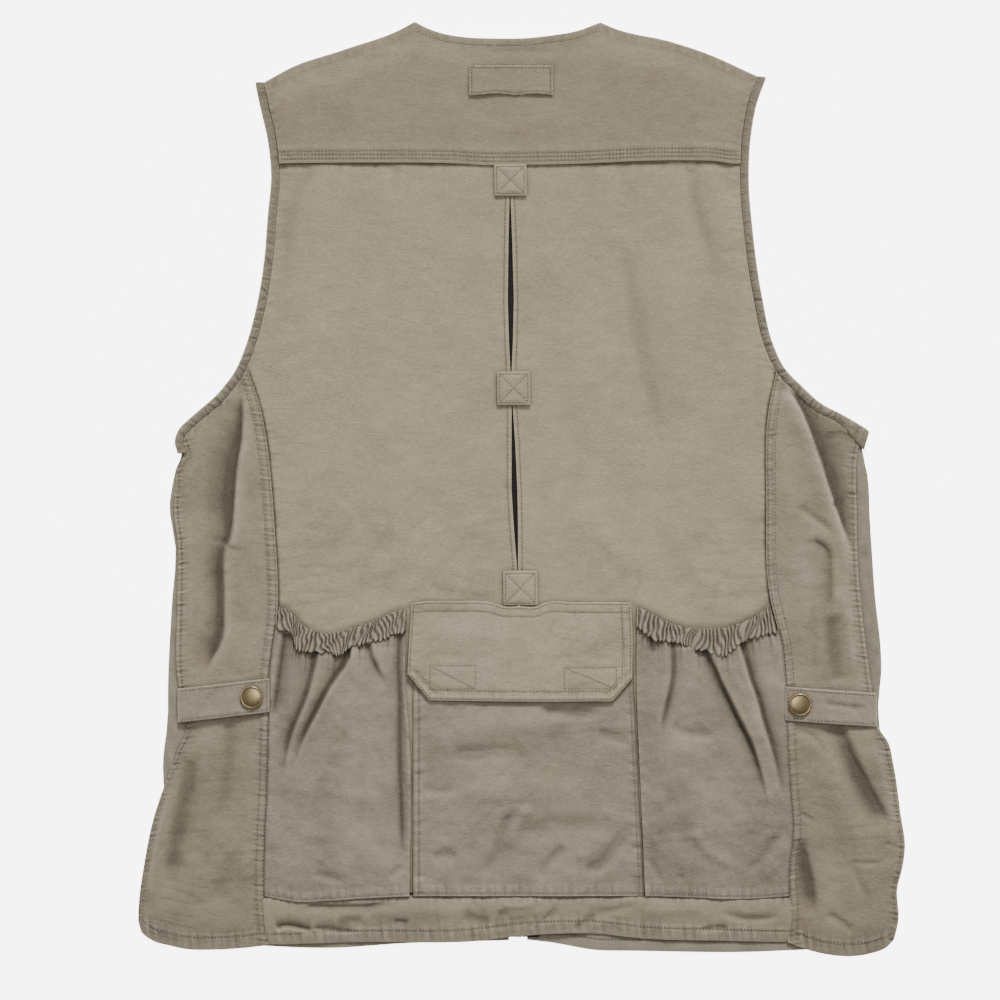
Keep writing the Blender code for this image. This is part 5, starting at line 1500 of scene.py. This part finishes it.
PLEATS_RIGHT = (
    *tuck(2.8, 0.8, 3, 1.4, -1, ((117.4, -118), (117.4, -149.8), (115, -161), (111, -178),
          (107, -198.5)), 0.03, 0.35),
    *tuck(3, 0.8, 2.6, 1.4, -1, ((101.5, -110), (100.5, -118), (98.5, -128)), 0.05, 0.5),
    *tuck(3.8, 1.3, 5, 1.1, 1, ((141.8, -120), (148.1, -135), (154.5, -150), (162.1, -165.4),
          (169.6, -180.7), (177.4, -195.8), (183.7, -215), (190, -240), (195, -264)), 0.02, 0.5),
    *tuck(3.6, 1.3, 5, 1.2, -1, ((170.4, -118), (174.8, -132.3), (178.7, -147.4), (185.1, -165.4),
          (188.9, -180.7), (195.2, -199.7), (203.5, -236), (206, -252)), 0.02, 0.4),
    Fold(1.4, 3, 5, ((194, -114), (199.5, -126), (202, -157), (203, -188)), 0.05, 0.5),
    Fold(1.7, 8, 9, ((128, -122), (132, -155), (136, -180)), 0.05, 0.5),
    Fold(1.4, 4, 5, ((155, -126), (168, -152), (182, -186), (192, -220)), 0.05, 0.5),
    Fold(-1.6, 5, 4, ((115.8, -181), (123.6, -188), (135.3, -190.3), (155, -192))),
    Fold(1.2, 8, 8, ((108, -200), (130, -206), (155, -215))),
    Fold(1.4, 4.5, 4.5, ((131.4, -262), (143.1, -280), (161, -291.7), (175, -293.5))),
    Fold(-1.6, 4, 4, ((172, -297.5), (186, -289.4), (197.7, -273.8), (207, -266))),
    Fold(-0.9, 3, 3, ((98.6, -285.5), (104, -297), (108, -310))),
    Fold(-0.8, 3, 3, ((123.6, -299), (127.5, -313))),
    Fold(-1, 9, 6, ((112, -225), (120, -255), (135, -290))),
)
POCKET_WALL, GATHER_RISE, GATHER_COUNT = 1.6, 2.7, 32
CASING_ROWS = np.array((0, 0.04, 0.1, 0.18, 0.27, 0.36, 0.46, 0.55, 0.64, 0.73, 0.82, 0.9, 0.96, 1.0))
CASING_LAP, CASING_LIFT = 2.6, 1.7
MOUTH_RISE, BAG_RISE = 1.4, 3.6


def bag_rise(across, down):
    """How far a gathered pocket stands off the back: nothing at its sewn edges, little at its
    mouth, and most at its middle."""
    sides = ease(np.minimum(across, 1.0 - across) / 0.2)
    mouth = MOUTH_RISE + (BAG_RISE - MOUTH_RISE) * ease(down / 0.3)
    return sides * mouth * ease((1.0 - down) / 0.16)


def inside_seam(lines, line):
    """The line with any point past the side panel's seam brought back to it."""
    seam_x = np.interp(-line[:, 1], -lines.seam[:, 1], lines.seam[:, 0])
    limit = seam_x + lines.side * 1.5
    x = np.maximum(line[:, 0], limit) if lines.side < 0 else np.minimum(line[:, 0], limit)
    return np.column_stack((x, line[:, 1]))


def make_casing(name, lines, top_points, foot_points, seed):
    """Gathers: the phase runs along the casing at an uneven pace and leans with the distance
    down, and each ridge is a rounded hill between two narrow valleys."""
    top = inside_seam(lines, smooth_line(top_points, 300))
    foot = inside_seam(lines, moved(smooth_line(foot_points, 300), y=0.6))
    grid = patch(top, foot, np.linspace(top[0], foot[0], 20), np.linspace(top[-1], foot[-1], 20),
                 np.linspace(0.0, 1.0, GATHER_COUNT * 7), CASING_ROWS)
    rows, columns = grid.shape[:2]
    across, down = np.meshgrid(np.linspace(0, 1, columns), np.linspace(0, 1, rows))
    pace = (across + 0.014 * ripple(3.1 * across, seed)
            + 0.011 * ripple(7.0 * across + 0.6 * down, seed + 1)
            + 0.010 * ripple(1.3 * down + 6.0 * across, seed + 3))
    lean = 0.03 * lines.side + 0.07 * ripple(2.9 * across, seed + 4)
    turn = np.pi * GATHER_COUNT * (pace + lean * (down - 0.5))
    hill = np.abs(np.sin(turn))
    height = np.clip(0.62 + 0.42 * ripple(11.0 * across + 1.1 * down, seed + 2), 0.15, 1.1)
    hold = 1.0 - 0.3 * bell(down - 0.14, 0.06) - 0.3 * bell(down - 0.8, 0.07)
    lobes = hill * height
    scallop = 2.4 * lobes + 0.8 * ripple(6.5 * across, seed + 5)
    grid[..., 1] += 0.9 * lobes * (1.0 - down) ** 3 - scallop * down**3
    fine = GATHER_RISE * lobes * hold
    edge = rounded(reach_in(grid))
    base = ON_BACK_LEVEL + bag_rise(across, 0.0) + CASING_LIFT * ease((down - 0.45) / 0.5)
    over = base + 1.0 + fine - edge
    # Painted light and shade on the gathers: ridges paler, painted shade in the valleys.
    wear = 3.0 * (hill**2.5 - 0.35) * height
    shade = 1.25 * (1.0 - hill) ** 1.2
    piece = shell(name, grid, base + edge, over, wear, shade, POCKET_CANVAS)
    declare(piece, name, fullness=1.3, allowance=1.5)


def make_bag(name, lines, inner_points, foot_points, foot_sag, pleats, seed):
    """The bag below a casing. Gathers start under the elastic and soon die out, and the pleats
    run on."""
    side = lines.side
    top = inside_seam(lines, smooth_line(foot_points, 300))
    top[:, 1] += CASING_LAP
    outer_end, inner_end = (top[0], top[-1]) if side < 0 else (top[-1], top[0])
    at_seam = moved(stretch(lines.seam, outer_end[1], POCKET_FOOT_Y), x=side * 1.5)
    at_inner = stretch(smooth_line(inner_points, 100), inner_end[1], POCKET_FOOT_Y)
    left, right = in_order(side, at_seam, at_inner)
    top[0], top[-1] = left[0], right[0]
    foot = smooth_line((left[-1], *foot_sag, right[-1]), 80)
    grid = patch(top, foot, left, right,
                 close_ends(112.0, 0.95, 7.0, 0.8), close_ends(206.0, 1.05, 7.0, 0.8))
    x, y, reach = laid_out(grid)
    width, height = reach.left[:, -1:], reach.top[-1:]
    across, down = reach.left / width, reach.top / height
    edges = (
        Edge("foot", 6.0, 0.3, (2.2,), 0.26, 6.0, seed),
        Edge(side_name(-side), 1.5, 0.2, (), 0.2, 8.0, seed + 3),
        Edge("top", 2.0, 0.0, (), 0.3, 5.0, seed + 5),
    )
    fine, wear = sewn(reach, edges)
    gathers = ripple(across * 26.0, seed + 7) * bell(reach.top, 14.0)
    free = ease(np.minimum(across, 1.0 - across) / 0.02) * ease((reach.foot - 3.0) / 14.0)
    folds = relief(pleats, x, y) * free
    # Painted highlight along the pleats' lips.
    wear += 0.9 * crests(pleats, x, y) * free
    full = bag_rise(across, down) - 0.3 * ease((3.0 - reach.top) / 3.0)
    # Painted shade in the gathers below the casing, along the bag's top, in the pleats' creases and along
    # the seam; the whole bag is a little darker. The gathers are painted paler on their crests and darker
    # in their troughs.
    mouth = 0.8 * np.clip(-gathers, 0.0, 1.0) + 0.8 * bell(reach.top, 3.5)
    from_seam = getattr(reach, side_name(side))
    dark = 0.08 + mouth + 0.85 * nooks(pleats, x, y) * free + 0.8 * bell(from_seam, 1.4)
    piece = cloth(name, grid, ON_BACK_LEVEL + full, folds, fine + 0.45 * gathers,
                  wear + 0.5 * gathers, POCKET_CANVAS, seed, thick=POCKET_WALL,
                  lowest=ON_BACK_LEVEL + 0.1, soft=1.1,
                  crease=0.08 + 0.14 * ease((-190.0 - y) / 60.0), dark=dark)
    sew(piece, edges)
    declare(piece, name, fullness=1.25)


make_casing("casing_left", LEFT, CASING_TOP_LEFT, CASING_FOOT_LEFT, 139)
make_casing("casing_right", RIGHT, CASING_TOP_RIGHT, CASING_FOOT_RIGHT, 149)
make_bag("pocket_left", LEFT, POCKET_LEFT_INNER, CASING_FOOT_LEFT, SAG_LEFT, PLEATS_LEFT, 151)
make_bag("pocket_right", RIGHT, POCKET_RIGHT_INNER, CASING_FOOT_RIGHT, SAG_RIGHT, PLEATS_RIGHT, 163)

# %% [markdown]
# ## Centre pocket and flap
#
# The cargo pocket between them lies almost flat, with low cross folds where it has been bent.
# Its flap is double, with two rows of stitches round it and two stitched rectangles near its
# foot, where hook and loop tape is sewn on underneath.

# %% Centre pocket and flap
POCKET_CENTRE_LEFT = ((-84.6, -96), (-84.6, -317.5))
POCKET_CENTRE_RIGHT = ((85, -96), (88.4, -170), (91.2, -226), (95.4, -317.5))
CENTRE_RISE, CENTRE_SLOPE = 1.6, 22.0
CENTRE_FOLDS = (
    Fold(0.9, 10, 10, ((-60, -188), (-10, -184), (50, -188))),
    Fold(-0.9, 7, 7, ((-58, -209), (-20, -205), (14, -209))),
    Fold(0.9, 12, 12, ((-50, -240), (10, -236), (60, -246))),
    Fold(-0.8, 8, 8, ((-10, -270), (40, -262), (76, -268))),
)
CENTRE_CREASES = (
    Fold(-1, 5, 4, ((12, -172), (38, -175), (64, -176))),
    Fold(-1, 4, 5, ((58, -190), (70, -193), (84, -196))),
    Fold(-0.7, 5, 4, ((-54, -208), (-38, -208.5), (-22, -208))),
    Fold(-1.2, 6, 4, ((-1, -250), (-13, -262), (-19, -281), (-26, -295), (-40, -303))),
    Fold(0.8, 5, 6, ((8, -246), (-4, -262), (-10, -282))),
    Fold(-0.9, 4, 4, ((34, -277), (18, -297), (16, -309))),
    Fold(-1.3, 4, 5, ((45, -297.5), (61, -293.5), (73, -278), (90, -260))),
    Fold(0.9, 6, 5, ((40, -287), (56, -282), (68, -266))),
    Fold(-0.7, 4, 4, ((-80, -232), (-62, -236), (-48, -232))),
    Fold(-0.7, 4, 4, ((-70, -290), (-58, -284), (-50, -290))),
)
FLAP_TOP = (
    (-85.7, -89), (-75, -87.5), (-54, -87.4), (-32, -87.4), (-24, -88.3), (-19, -89.8),
    (-14.5, -91.2), (-1, -91.4), (12, -91.3), (16, -89.4), (20, -88.2), (40, -88.2), (62, -88.2),
    (85.4, -88.4),
)
FLAP_LEFT = ((-85.7, -89), (-87.6, -118), (-88.9, -144.3))
FLAP_RIGHT = ((85.4, -88.4), (86.4, -118), (86.2, -147.4))
FLAP_FOOT = ((-88.9, -144.3), (-71.4, -164.6), (0, -165.6), (70.6, -165.4), (86.2, -147.4))
FLAP_CREASES = (
    Fold(-0.6, 3, 3, ((53, -131), (62, -132), (73, -131.5))),
    Fold(-0.6, 4, 3, ((-72, -129.5), (-56, -130.5), (-40, -129.5))),
    Fold(-0.6, 6, 8, ((30, -102), (23, -113), (14, -127))),
    Fold(0.6, 14, 14, ((-50, -104), (-46, -118), (-30, -130))),
    Fold(0.6, 12, 12, ((56, -104), (50, -116), (44, -128))),
)
FLAP_PATCHES = (((-71.4, -137.5), (-36, -155.5)), ((33.2, -139), (73.7, -155.5)))


def centre_rise(x, y):
    """How far the centre pocket stands off the back: level edges and low cross folds."""
    left, right = POCKET_CENTRE_LEFT[0], POCKET_CENTRE_RIGHT[1]
    inside = (ease((x - left[0]) / CENTRE_SLOPE) * ease((right[0] - x) / CENTRE_SLOPE)
              * ease((y - POCKET_FOOT_Y) / CENTRE_SLOPE) * ease((left[1] - y) / CENTRE_SLOPE))
    return inside * np.clip(CENTRE_RISE + 2.1 * relief(CENTRE_FOLDS, x, y), 0.0, None)


def make_centre_pocket(seed=173):
    """The centre pocket. Its upper part lies under the flap, so it is left smooth there."""
    left = smooth_line(POCKET_CENTRE_LEFT, 100)
    right = smooth_line(POCKET_CENTRE_RIGHT, 100)
    right[:, 1] = left[:, 1]
    grid = straight_patch(left, right, close_ends(176.0, 1.3, 7.0, 0.9),
                          stations(221.0, (56.0, 7.0), (214.0, 1.3), (221.0, 0.9)))
    x, y, reach = laid_out(grid)
    edges = (
        Edge("left", 5.5, 0.35, (4.6,), 0.3, 8.0, seed),
        Edge("right", 5.5, 0.35, (3.4,), 0.32, 8.0, seed + 3),
        Edge("foot", 7.0, 0.3, (2.2,), 0.26, 6.5, seed + 5),
    )
    fine, wear = sewn(reach, edges)
    shown = ease((-150.0 - y) / 20.0)
    folds = 2.1 * relief(CENTRE_CREASES, x, y) * shown * ease(reach.foot / 12.0)
    # Painted shade in the hollows of the cross folds and along the pocket's two side edges.
    hollows = 0.1 * np.clip(-relief(CENTRE_FOLDS, x, y), 0.0, 1.0)
    dark = hollows + 1.2 * bell(reach.right, 1.6) + 0.7 * bell(reach.left, 1.2)
    piece = cloth("pocket_centre", grid, ON_BACK_LEVEL + centre_rise(x, y), folds, fine * shown,
                  wear, POCKET_CANVAS, seed, lowest=ON_BACK_LEVEL, soft=0.8, crease=0.3 * shown, dark=dark)
    sew(piece, edges)
    declare(piece, "pocket_centre")


def box_ripple(x, y, low, high):
    """A stitched rectangle: a groove along its sides, and within it a slight pillow."""
    inside_x = np.minimum(x - low[0], high[0] - x)
    inside_y = np.minimum(y - low[1], high[1] - y)
    inside = np.minimum(inside_x, inside_y)
    return -0.3 * bell(inside, 0.9) + 0.22 * ease(inside / 5.0) * (inside > 0)


def make_flap(seed=181):
    """The flap, whose lower corners are cut off slanting."""
    top = smooth_line(FLAP_TOP, 240)
    corner_left = np.array(FLAP_FOOT[:2])
    corner_right = np.array(FLAP_FOOT[3:])
    foot = joined(read_line(corner_left, np.linspace(0, 1, 20)), smooth_line(FLAP_FOOT[1:4], 200),
                  read_line(corner_right, np.linspace(0, 1, 20)))
    grid = patch(top, foot, smooth_line(FLAP_LEFT, 60), smooth_line(FLAP_RIGHT, 60),
                 close_ends(176.0, 1.4), close_ends(77.0, 1.3))
    x, y, reach = laid_out(grid)
    edges = (
        Edge("top", 8.0, 0.0, (1.6, 7.8), 0.08, 7.0, seed),
        Edge("foot", 8.0, 0.0, (1.6, 7.8), 0.14, 5.0, seed + 3),
        Edge("left", 8.0, 0.0, (1.6,), 0.12, 7.0, seed + 5),
        Edge("right", 8.0, 0.0, (1.6, 7.8), 0.12, 7.0, seed + 7),
    )
    fine, wear = sewn(reach, edges)
    for (left_x, top_y), (right_x, foot_y) in FLAP_PATCHES:
        fine += box_ripple(x, y, (left_x, foot_y), (right_x, top_y))
    between = ease((x + 40.0) / 8.0) * ease((34.0 - x) / 8.0) * bell(y + 157.0, 6.0)
    fine += 0.2 * np.cos(2.0 * np.pi * x / 3.9 + 1.5 * ripple(x / 30.0, seed)) * between
    folds = relief(FLAP_CREASES, x, y)
    level = ON_BACK_LEVEL + centre_rise(x, y) + CLOTH + 2 * GAP + 0.5 * ease((reach.foot < 4.0) * 1.0)
    piece = cloth("pocket_flap", grid, level, folds, fine, wear, FLAP_CANVAS, seed,
                  thick=DOUBLE_CLOTH, lowest=ON_BACK_LEVEL, soft=0.36, crease=0.3)
    sew(piece, edges)
    for (left_x, top_y), (right_x, foot_y) in FLAP_PATCHES:
        sew_line(piece, (left_x, top_y), (right_x, top_y), (right_x, foot_y), (left_x, foot_y),
                 (left_x, top_y), (right_x, foot_y))
    declare(piece, "pocket_flap")


make_centre_pocket()
make_flap()

# %% [markdown]
# ## Tabs, patch and straps
#
# Three tabs hold the vent together. Each is sewn with a box and a cross, which leaves four small
# pillows. The patch below the neck is blank. The straps run from the side seams over the side
# panels and end at their snaps.

# %% Tabs and patch
TAB_ROW = 2.0


def make_tab(tab, seed):
    """A tab over the vent, sewn with a box and a cross."""
    left = np.linspace((tab.left, tab.top), (tab.left + 0.4, tab.foot), 20)
    right = np.linspace((tab.right - 0.2, tab.top + 0.2), (tab.right, tab.foot), 20)
    width, height = tab.right - tab.left, tab.top - tab.foot
    grid = straight_patch(left, right, stations(width, (width, 0.95)),
                          stations(height, (height, 0.95)))
    reach = reach_in(grid)
    across, down = reach.left / width, reach.top / height
    inset = inset_of(reach)
    cross = np.minimum(np.abs(across - down), np.abs(across + down - 1.0)) * width * 0.7
    fine = (-0.32 * bell(inset - 1.8, 0.8) - 0.28 * bell(cross, 0.9) * (inset > 1.5)
            + 0.35 * ease(cross / 5.0) * ease((inset - 1.8) / 3.0))
    # The edge is rubbed pale, and painted shade lies along the stitched box.
    wear = 0.8 * bell(inset, 1.0) - 0.3 * bell(inset - 1.8, 0.8)
    lift = 0.5 * np.sin(np.pi * across) * np.sin(np.pi * down)
    piece = cloth(tab.name, grid, ON_BACK_LEVEL + lift + 0.25, np.zeros_like(lift), fine,
                  wear, FLAP_CANVAS, seed, thick=DOUBLE_CLOTH, lowest=ON_BACK_LEVEL, soft=0.15)
    west, east = tab.left + TAB_ROW, tab.right - TAB_ROW
    north, south = tab.top - TAB_ROW, tab.foot + TAB_ROW
    sew_line(piece, (west, north), (east, north), (east, south), (west, south), (west, north),
             (east, south))
    sew_line(piece, (east, north), (west, south))
    declare(piece, tab.name, allowance=2.0)


NECK_PATCH = Tab("neck_patch", -41.0, 24.6, 330.3, 306.9)
PATCH_FOOT = ((-41, 306.6), (-36, 306.9), (-17, 308.2), (-5, 307), (10, 308), (24.6, 307))


def make_patch(seed=197):
    """The blank patch on the yoke, whose foot lifts a little in two places."""
    tab = NECK_PATCH
    foot = smooth_line(PATCH_FOOT, 100)
    left = np.linspace((tab.left, tab.top), foot[0], 20)
    right = np.linspace((tab.right, tab.top), foot[-1], 20)
    grid = patch(np.stack((left[0], right[0])), foot, left, right, stations(66.0, (66.0, 1.0)),
                 stations(23.4, (23.4, 0.9)))
    x, y, reach = laid_out(grid)
    edges = tuple(Edge(name, 2.2, 0.12, (2.0,), 0.12, 6.0, seed + turn)
                  for turn, name in enumerate(("top", "foot", "left", "right")))
    fine, wear = sewn(reach, edges)
    lifted = 0.9 * bell(reach.foot, 3.5) * (0.5 + 0.5 * np.cos(2 * np.pi * (x + 30.0) / 42.0))
    level = back_level(x, y) + 2.25 + 0.2 + lifted
    piece = cloth("neck_patch", grid, level, np.zeros_like(x), fine, wear, YOKE_CANVAS, seed,
                  thick=1.1, soft=0.12)
    sew(piece, edges)
    declare(piece, "neck_patch", allowance=2.0)


for turn, tab in enumerate(TABS):
    make_tab(tab, 191 + turn)
make_patch()

# %% [markdown]
# A strap is a folded strip, sewn into the side seam. It climbs over the edge of the side panel
# and then lies level, so its height is read from a few steps along its length. Round the snap
# the cloth is pressed in.

# %% Straps
STRAP_SHARES = (0.0, 0.15, 0.35, 0.6, 1.0)
STRAP_LEVELS = (3.4, 5.6, 7.4, 7.9, 7.4)
STRAP_CREASES = {
    "left": (Fold(-0.5, 5, 5, ((-236, -153), (-240, -166), (-238, -177))),),
    "right": (Fold(-1.3, 2.5, 2, ((234, -167), (252, -169.5), (271, -171))),
              Fold(-0.5, 2, 2, ((258, -169), (261, -172.5), (264, -176)))),
}


PRESS_RADIUS, PRESS_DEPTH = 10.5, 0.5
SNAP_SHARE, SNAP_SUNK = 0.8, 0.35


def make_strap(strap, seed):
    """A waist strap, from the side seam inwards to its free end with the snap."""
    foot = STRAP_WIDTH
    outer = np.linspace((strap.outer_x, strap.outer_top), (strap.outer_x, strap.outer_top - foot), 30)
    inner = np.linspace((strap.inner_x, strap.inner_top), (strap.inner_x, strap.inner_top - foot), 30)
    left, right = (outer, inner) if strap.name == "left" else (inner, outer)
    grid = straight_patch(left, right, stations(72.0, (72.0, 1.0)), stations(foot, (foot, 0.9)))
    x, y, reach = laid_out(grid)
    free_end = "right" if strap.name == "left" else "left"
    edges = (
        Edge("top", 2.2, 0.1, (2.0,), 0.14, 6.0, seed),
        Edge("foot", 2.2, 0.1, (2.0,), 0.14, 6.0, seed + 2),
        Edge(free_end, 2.2, 0.1, (2.0,), 0.1, 6.0, seed + 4),
    )
    fine, wear = sewn(reach, edges)
    from_outer = (x - strap.outer_x) / (strap.inner_x - strap.outer_x)
    level = np.interp(from_outer, STRAP_SHARES, STRAP_LEVELS)
    folds = relief(STRAP_CREASES[strap.name], x, y)
    press = np.hypot(x - strap.snap_x, y - strap.snap_y)
    fine -= PRESS_DEPTH * np.exp(-((press / PRESS_RADIUS) ** 4))
    piece = cloth("strap_" + strap.name, grid, level, folds, fine, wear, STRAP_CANVAS, seed,
                  thick=DOUBLE_CLOTH, soft=0.28, crease=0.25)
    sew(piece, edges)
    declare(piece, "strap_" + strap.name, allowance=2.0)


for turn, strap in enumerate(STRAPS):
    make_strap(strap, 211 + turn)

# %% [markdown]
# A snap's cap is spun from thin brass: a shallow dish with a rolled rim. Its profile is carried
# round its axis. Use has kept the dish and the crest of the rim bright, and the brass between
# them has darkened.

# %% Snaps
SNAP_SIDES = 56
SNAP_PROFILE = (
    (0.0, 2.9), (1.5, 2.88), (3.0, 2.82), (4.5, 2.7), (5.8, 2.5), (6.7, 2.26), (7.2, 2.12),
    (7.5, 2.2), (7.9, 2.4), (8.3, 2.38), (8.62, 2.1), (8.75, 1.7), (8.7, 1.2), (8.45, 0.75),
    (8.1, 0.4), (7.6, 0.2), (0.0, 0.2),
)
DISH_RADIUS, RIM_FROM, RIM_TO = 6.9, 7.7, 8.65
DISH_SHINE, RIM_SHINE = 0.62, 0.75


def tarnish(tree, place):
    """Bright on the dish and the rim's crest, by the marks on the mesh, and a little cloudy."""
    bright = add_node(tree, "ShaderNodeAttribute", attribute_name="wear").outputs["Fac"]
    cloud = arithmetic(tree, "MULTIPLY", noise(tree, place, 2.4, 3.0), 0.25)
    return arithmetic(tree, "ADD", bright, cloud, True)


BRASS = two_tone("snap_brass", (0.075, 0.052, 0.024), (0.46, 0.36, 0.19), tarnish,
                 {"Metallic": 1.0, "Roughness": 0.34})


def make_snap(strap):
    """A turned cap: each profile point becomes a ring, and the ends close on the axis."""
    profile = np.array(SNAP_PROFILE)
    turn = np.linspace(0.0, 2.0 * np.pi, SNAP_SIDES, endpoint=False)
    radius, height = profile[1:-1, 0][:, None], profile[1:-1, 1][:, None]
    seat = np.interp(SNAP_SHARE, STRAP_SHARES, STRAP_LEVELS) + DOUBLE_CLOTH - SNAP_SUNK
    ring = np.stack((strap.snap_x + radius * np.cos(turn), strap.snap_y + radius * np.sin(turn),
                     np.broadcast_to(seat + height, (len(radius), SNAP_SIDES))), axis=-1)
    points = np.vstack((ring.reshape(-1, 3), (strap.snap_x, strap.snap_y, seat + profile[0, 1]),
                        (strap.snap_x, strap.snap_y, seat + profile[-1, 1])))
    index = np.arange(len(radius) * SNAP_SIDES).reshape(len(radius), SNAP_SIDES)
    onward = np.roll(index, -1, axis=1)
    walls = np.stack((index[:-1], index[1:], onward[1:], onward[:-1]), axis=-1).reshape(-1, 4)
    top, foot = len(points) - 2, len(points) - 1
    caps = [(top, a, b) for a, b in zip(index[0], onward[0])]
    caps += [(foot, b, a) for a, b in zip(index[-1], onward[-1])]
    made = placed("snap_cap_" + strap.name, points, walls.tolist() + caps, BRASS)
    shine = np.where((radius > RIM_FROM) & (radius < RIM_TO), RIM_SHINE, 0.0)
    shine = np.where(radius < DISH_RADIUS, DISH_SHINE, shine)
    mark(made, "wear", np.append(np.repeat(shine, SNAP_SIDES), (DISH_SHINE, 0.0)))
    made.data.shade_smooth()
    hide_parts("snap_" + strap.name)


for strap in STRAPS:
    make_snap(strap)

# %% [markdown]
# ## Stitching
#
# A row of topstitching is a few hundred short threads, each lying in its own dent. One stitch is
# a spindle of two dozen faces, and all stitches of a panel are one mesh. Their heights are
# read from the panel that carries them, at the four nearest points of its grid.

# %% Stitches
STITCH_LENGTH, STITCH_RADIUS, STITCH_CORNERS = 1.55, 0.27, 4
STITCH_SHARES, STITCH_SWELL = (0.18, 0.5, 0.82), (0.8, 1.0, 0.8)
STITCH_SEAT, STITCH_CROWN = 0.02, 0.22
# A dent is a dark quad laid on the cloth between two stitches: painted shade of the needle hole.
DENT_LENGTH, DENT_WIDTH, DENT_LIFT = 1.6, 0.8, 0.07
HIDDEN_BELOW = {"back_left_cloth": -90.0, "back_right_cloth": -90.0}
NEEDLE_SHADE_CLOTH = cloth_material("needle_dent", Weave((0.155, 0.129, 0.094), 0.2, 0.4, 0.3, 0.02, 0.95))
THREAD = two_tone("thread", (0.30, 0.26, 0.195), (0.44, 0.395, 0.315),
                  lambda tree, place: noise(tree, place, 5.0), {"Roughness": 0.7, "Sheen Weight": 0.2})


def heights_at(piece, places):
    """Height of a piece's upper face: its four nearest grid points, weighted by one over the
    squared distance."""
    points, over = piece.grid.reshape(-1, 2), piece.over.ravel()
    found = []
    for block in np.array_split(places, max(1, len(places) // 100)):
        away = (block[:, None, 0] - points[:, 0]) ** 2 + (block[:, None, 1] - points[:, 1]) ** 2
        best = np.argpartition(away, 4, axis=1)[:, :4]
        weight = 1.0 / (np.take_along_axis(away, best, axis=1) + 0.01)
        found.append((over[best] * weight).sum(axis=1) / weight.sum(axis=1))
    return np.concatenate(found)


def spindle_faces():
    """Triangles of one stitch: two tips, and rings of corners between them."""
    rings, sides = len(STITCH_SHARES), STITCH_CORNERS
    faces = []
    for corner in range(sides):
        onward = (corner + 1) % sides
        faces.append((0, 2 + onward, 2 + corner))
        last = 2 + (rings - 1) * sides
        faces.append((1, last + corner, last + onward))
        for ring in range(rings - 1):
            near_ring, far_ring = 2 + ring * sides, 2 + (ring + 1) * sides
            faces.append((near_ring + corner, near_ring + onward, far_ring + onward))
            faces.append((near_ring + corner, far_ring + onward, far_ring + corner))
    return np.array(faces)


def make_stitches(piece, rows):
    """One mesh with every stitch of a piece. A stitch's point is its start, plus its share of
    the way to its end, plus a ring corner around that way."""
    starts, ends = [], []
    for row in rows:
        along = lengths(row)
        count = int(along[-1] // STITCH_PITCH)
        first = np.arange(count) * STITCH_PITCH + 0.4
        for places, where in ((starts, first), (ends, first + STITCH_LENGTH)):
            places.append(np.column_stack([np.interp(where, along, row[:, axis]) for axis in (0, 1)]))
    start, end = np.vstack(starts), np.vstack(ends)
    kept = start[:, 1] > HIDDEN_BELOW.get(piece.object.name, -1000.0)
    start, end = start[kept], end[kept]
    start = np.column_stack((start, heights_at(piece, start) + STITCH_SEAT))
    end = np.column_stack((end, heights_at(piece, end) + STITCH_SEAT))
    way = end - start
    side = np.column_stack((-way[:, 1], way[:, 0], np.zeros(len(way))))
    side /= np.hypot(side[:, 0], side[:, 1])[:, None]
    points = [start, end]
    for share, swell in zip(STITCH_SHARES, STITCH_SWELL):
        middle = start + share * way + (0.0, 0.0, STITCH_CROWN * swell)
        for corner in range(STITCH_CORNERS):
            turn = 2.0 * np.pi * corner / STITCH_CORNERS
            rise = np.array((0.0, 0.0, STITCH_RADIUS * swell * np.sin(turn)))
            points.append(middle + STITCH_RADIUS * swell * np.cos(turn) * side + rise)
    label = piece.object.name.removesuffix("_cloth")
    made = joined_blocks("stitches_" + label, np.stack(points, axis=1), spindle_faces(), THREAD)
    made.data.shade_smooth()
    # Dark quads between the stitches, painted shade of the needle holes.
    tip = end + 0.5 * (STITCH_PITCH - STITCH_LENGTH - DENT_LENGTH) * way / STITCH_LENGTH
    middle = tip + 0.5 * DENT_LENGTH * way / STITCH_LENGTH
    half = 0.5 * DENT_WIDTH * side
    tail = tip + DENT_LENGTH * way / STITCH_LENGTH
    corners = np.stack((tip, middle - half, tail, middle + half), axis=1) + (0.0, 0.0, DENT_LIFT)
    dents = joined_blocks("dents_" + label, corners, np.array([(0, 1, 2, 3)]), NEEDLE_SHADE_CLOTH)
    return len(start)


print("stitches", sum(make_stitches(piece, rows) for piece, rows in STITCHED.values()))

# %% [markdown]
# ## Counting
#
# Last, the triangles of the meshes that show are counted. What is sewn and folded here is meant
# to stay within the solids' box, but for a fraction of a millimetre.

# %% Count the triangles
shown = [thing.data for thing in bpy.data.objects if thing.type == "MESH" and not thing.hide_render]
print("triangles shown", sum(len(face.vertices) - 2 for mesh in shown for face in mesh.polygons))
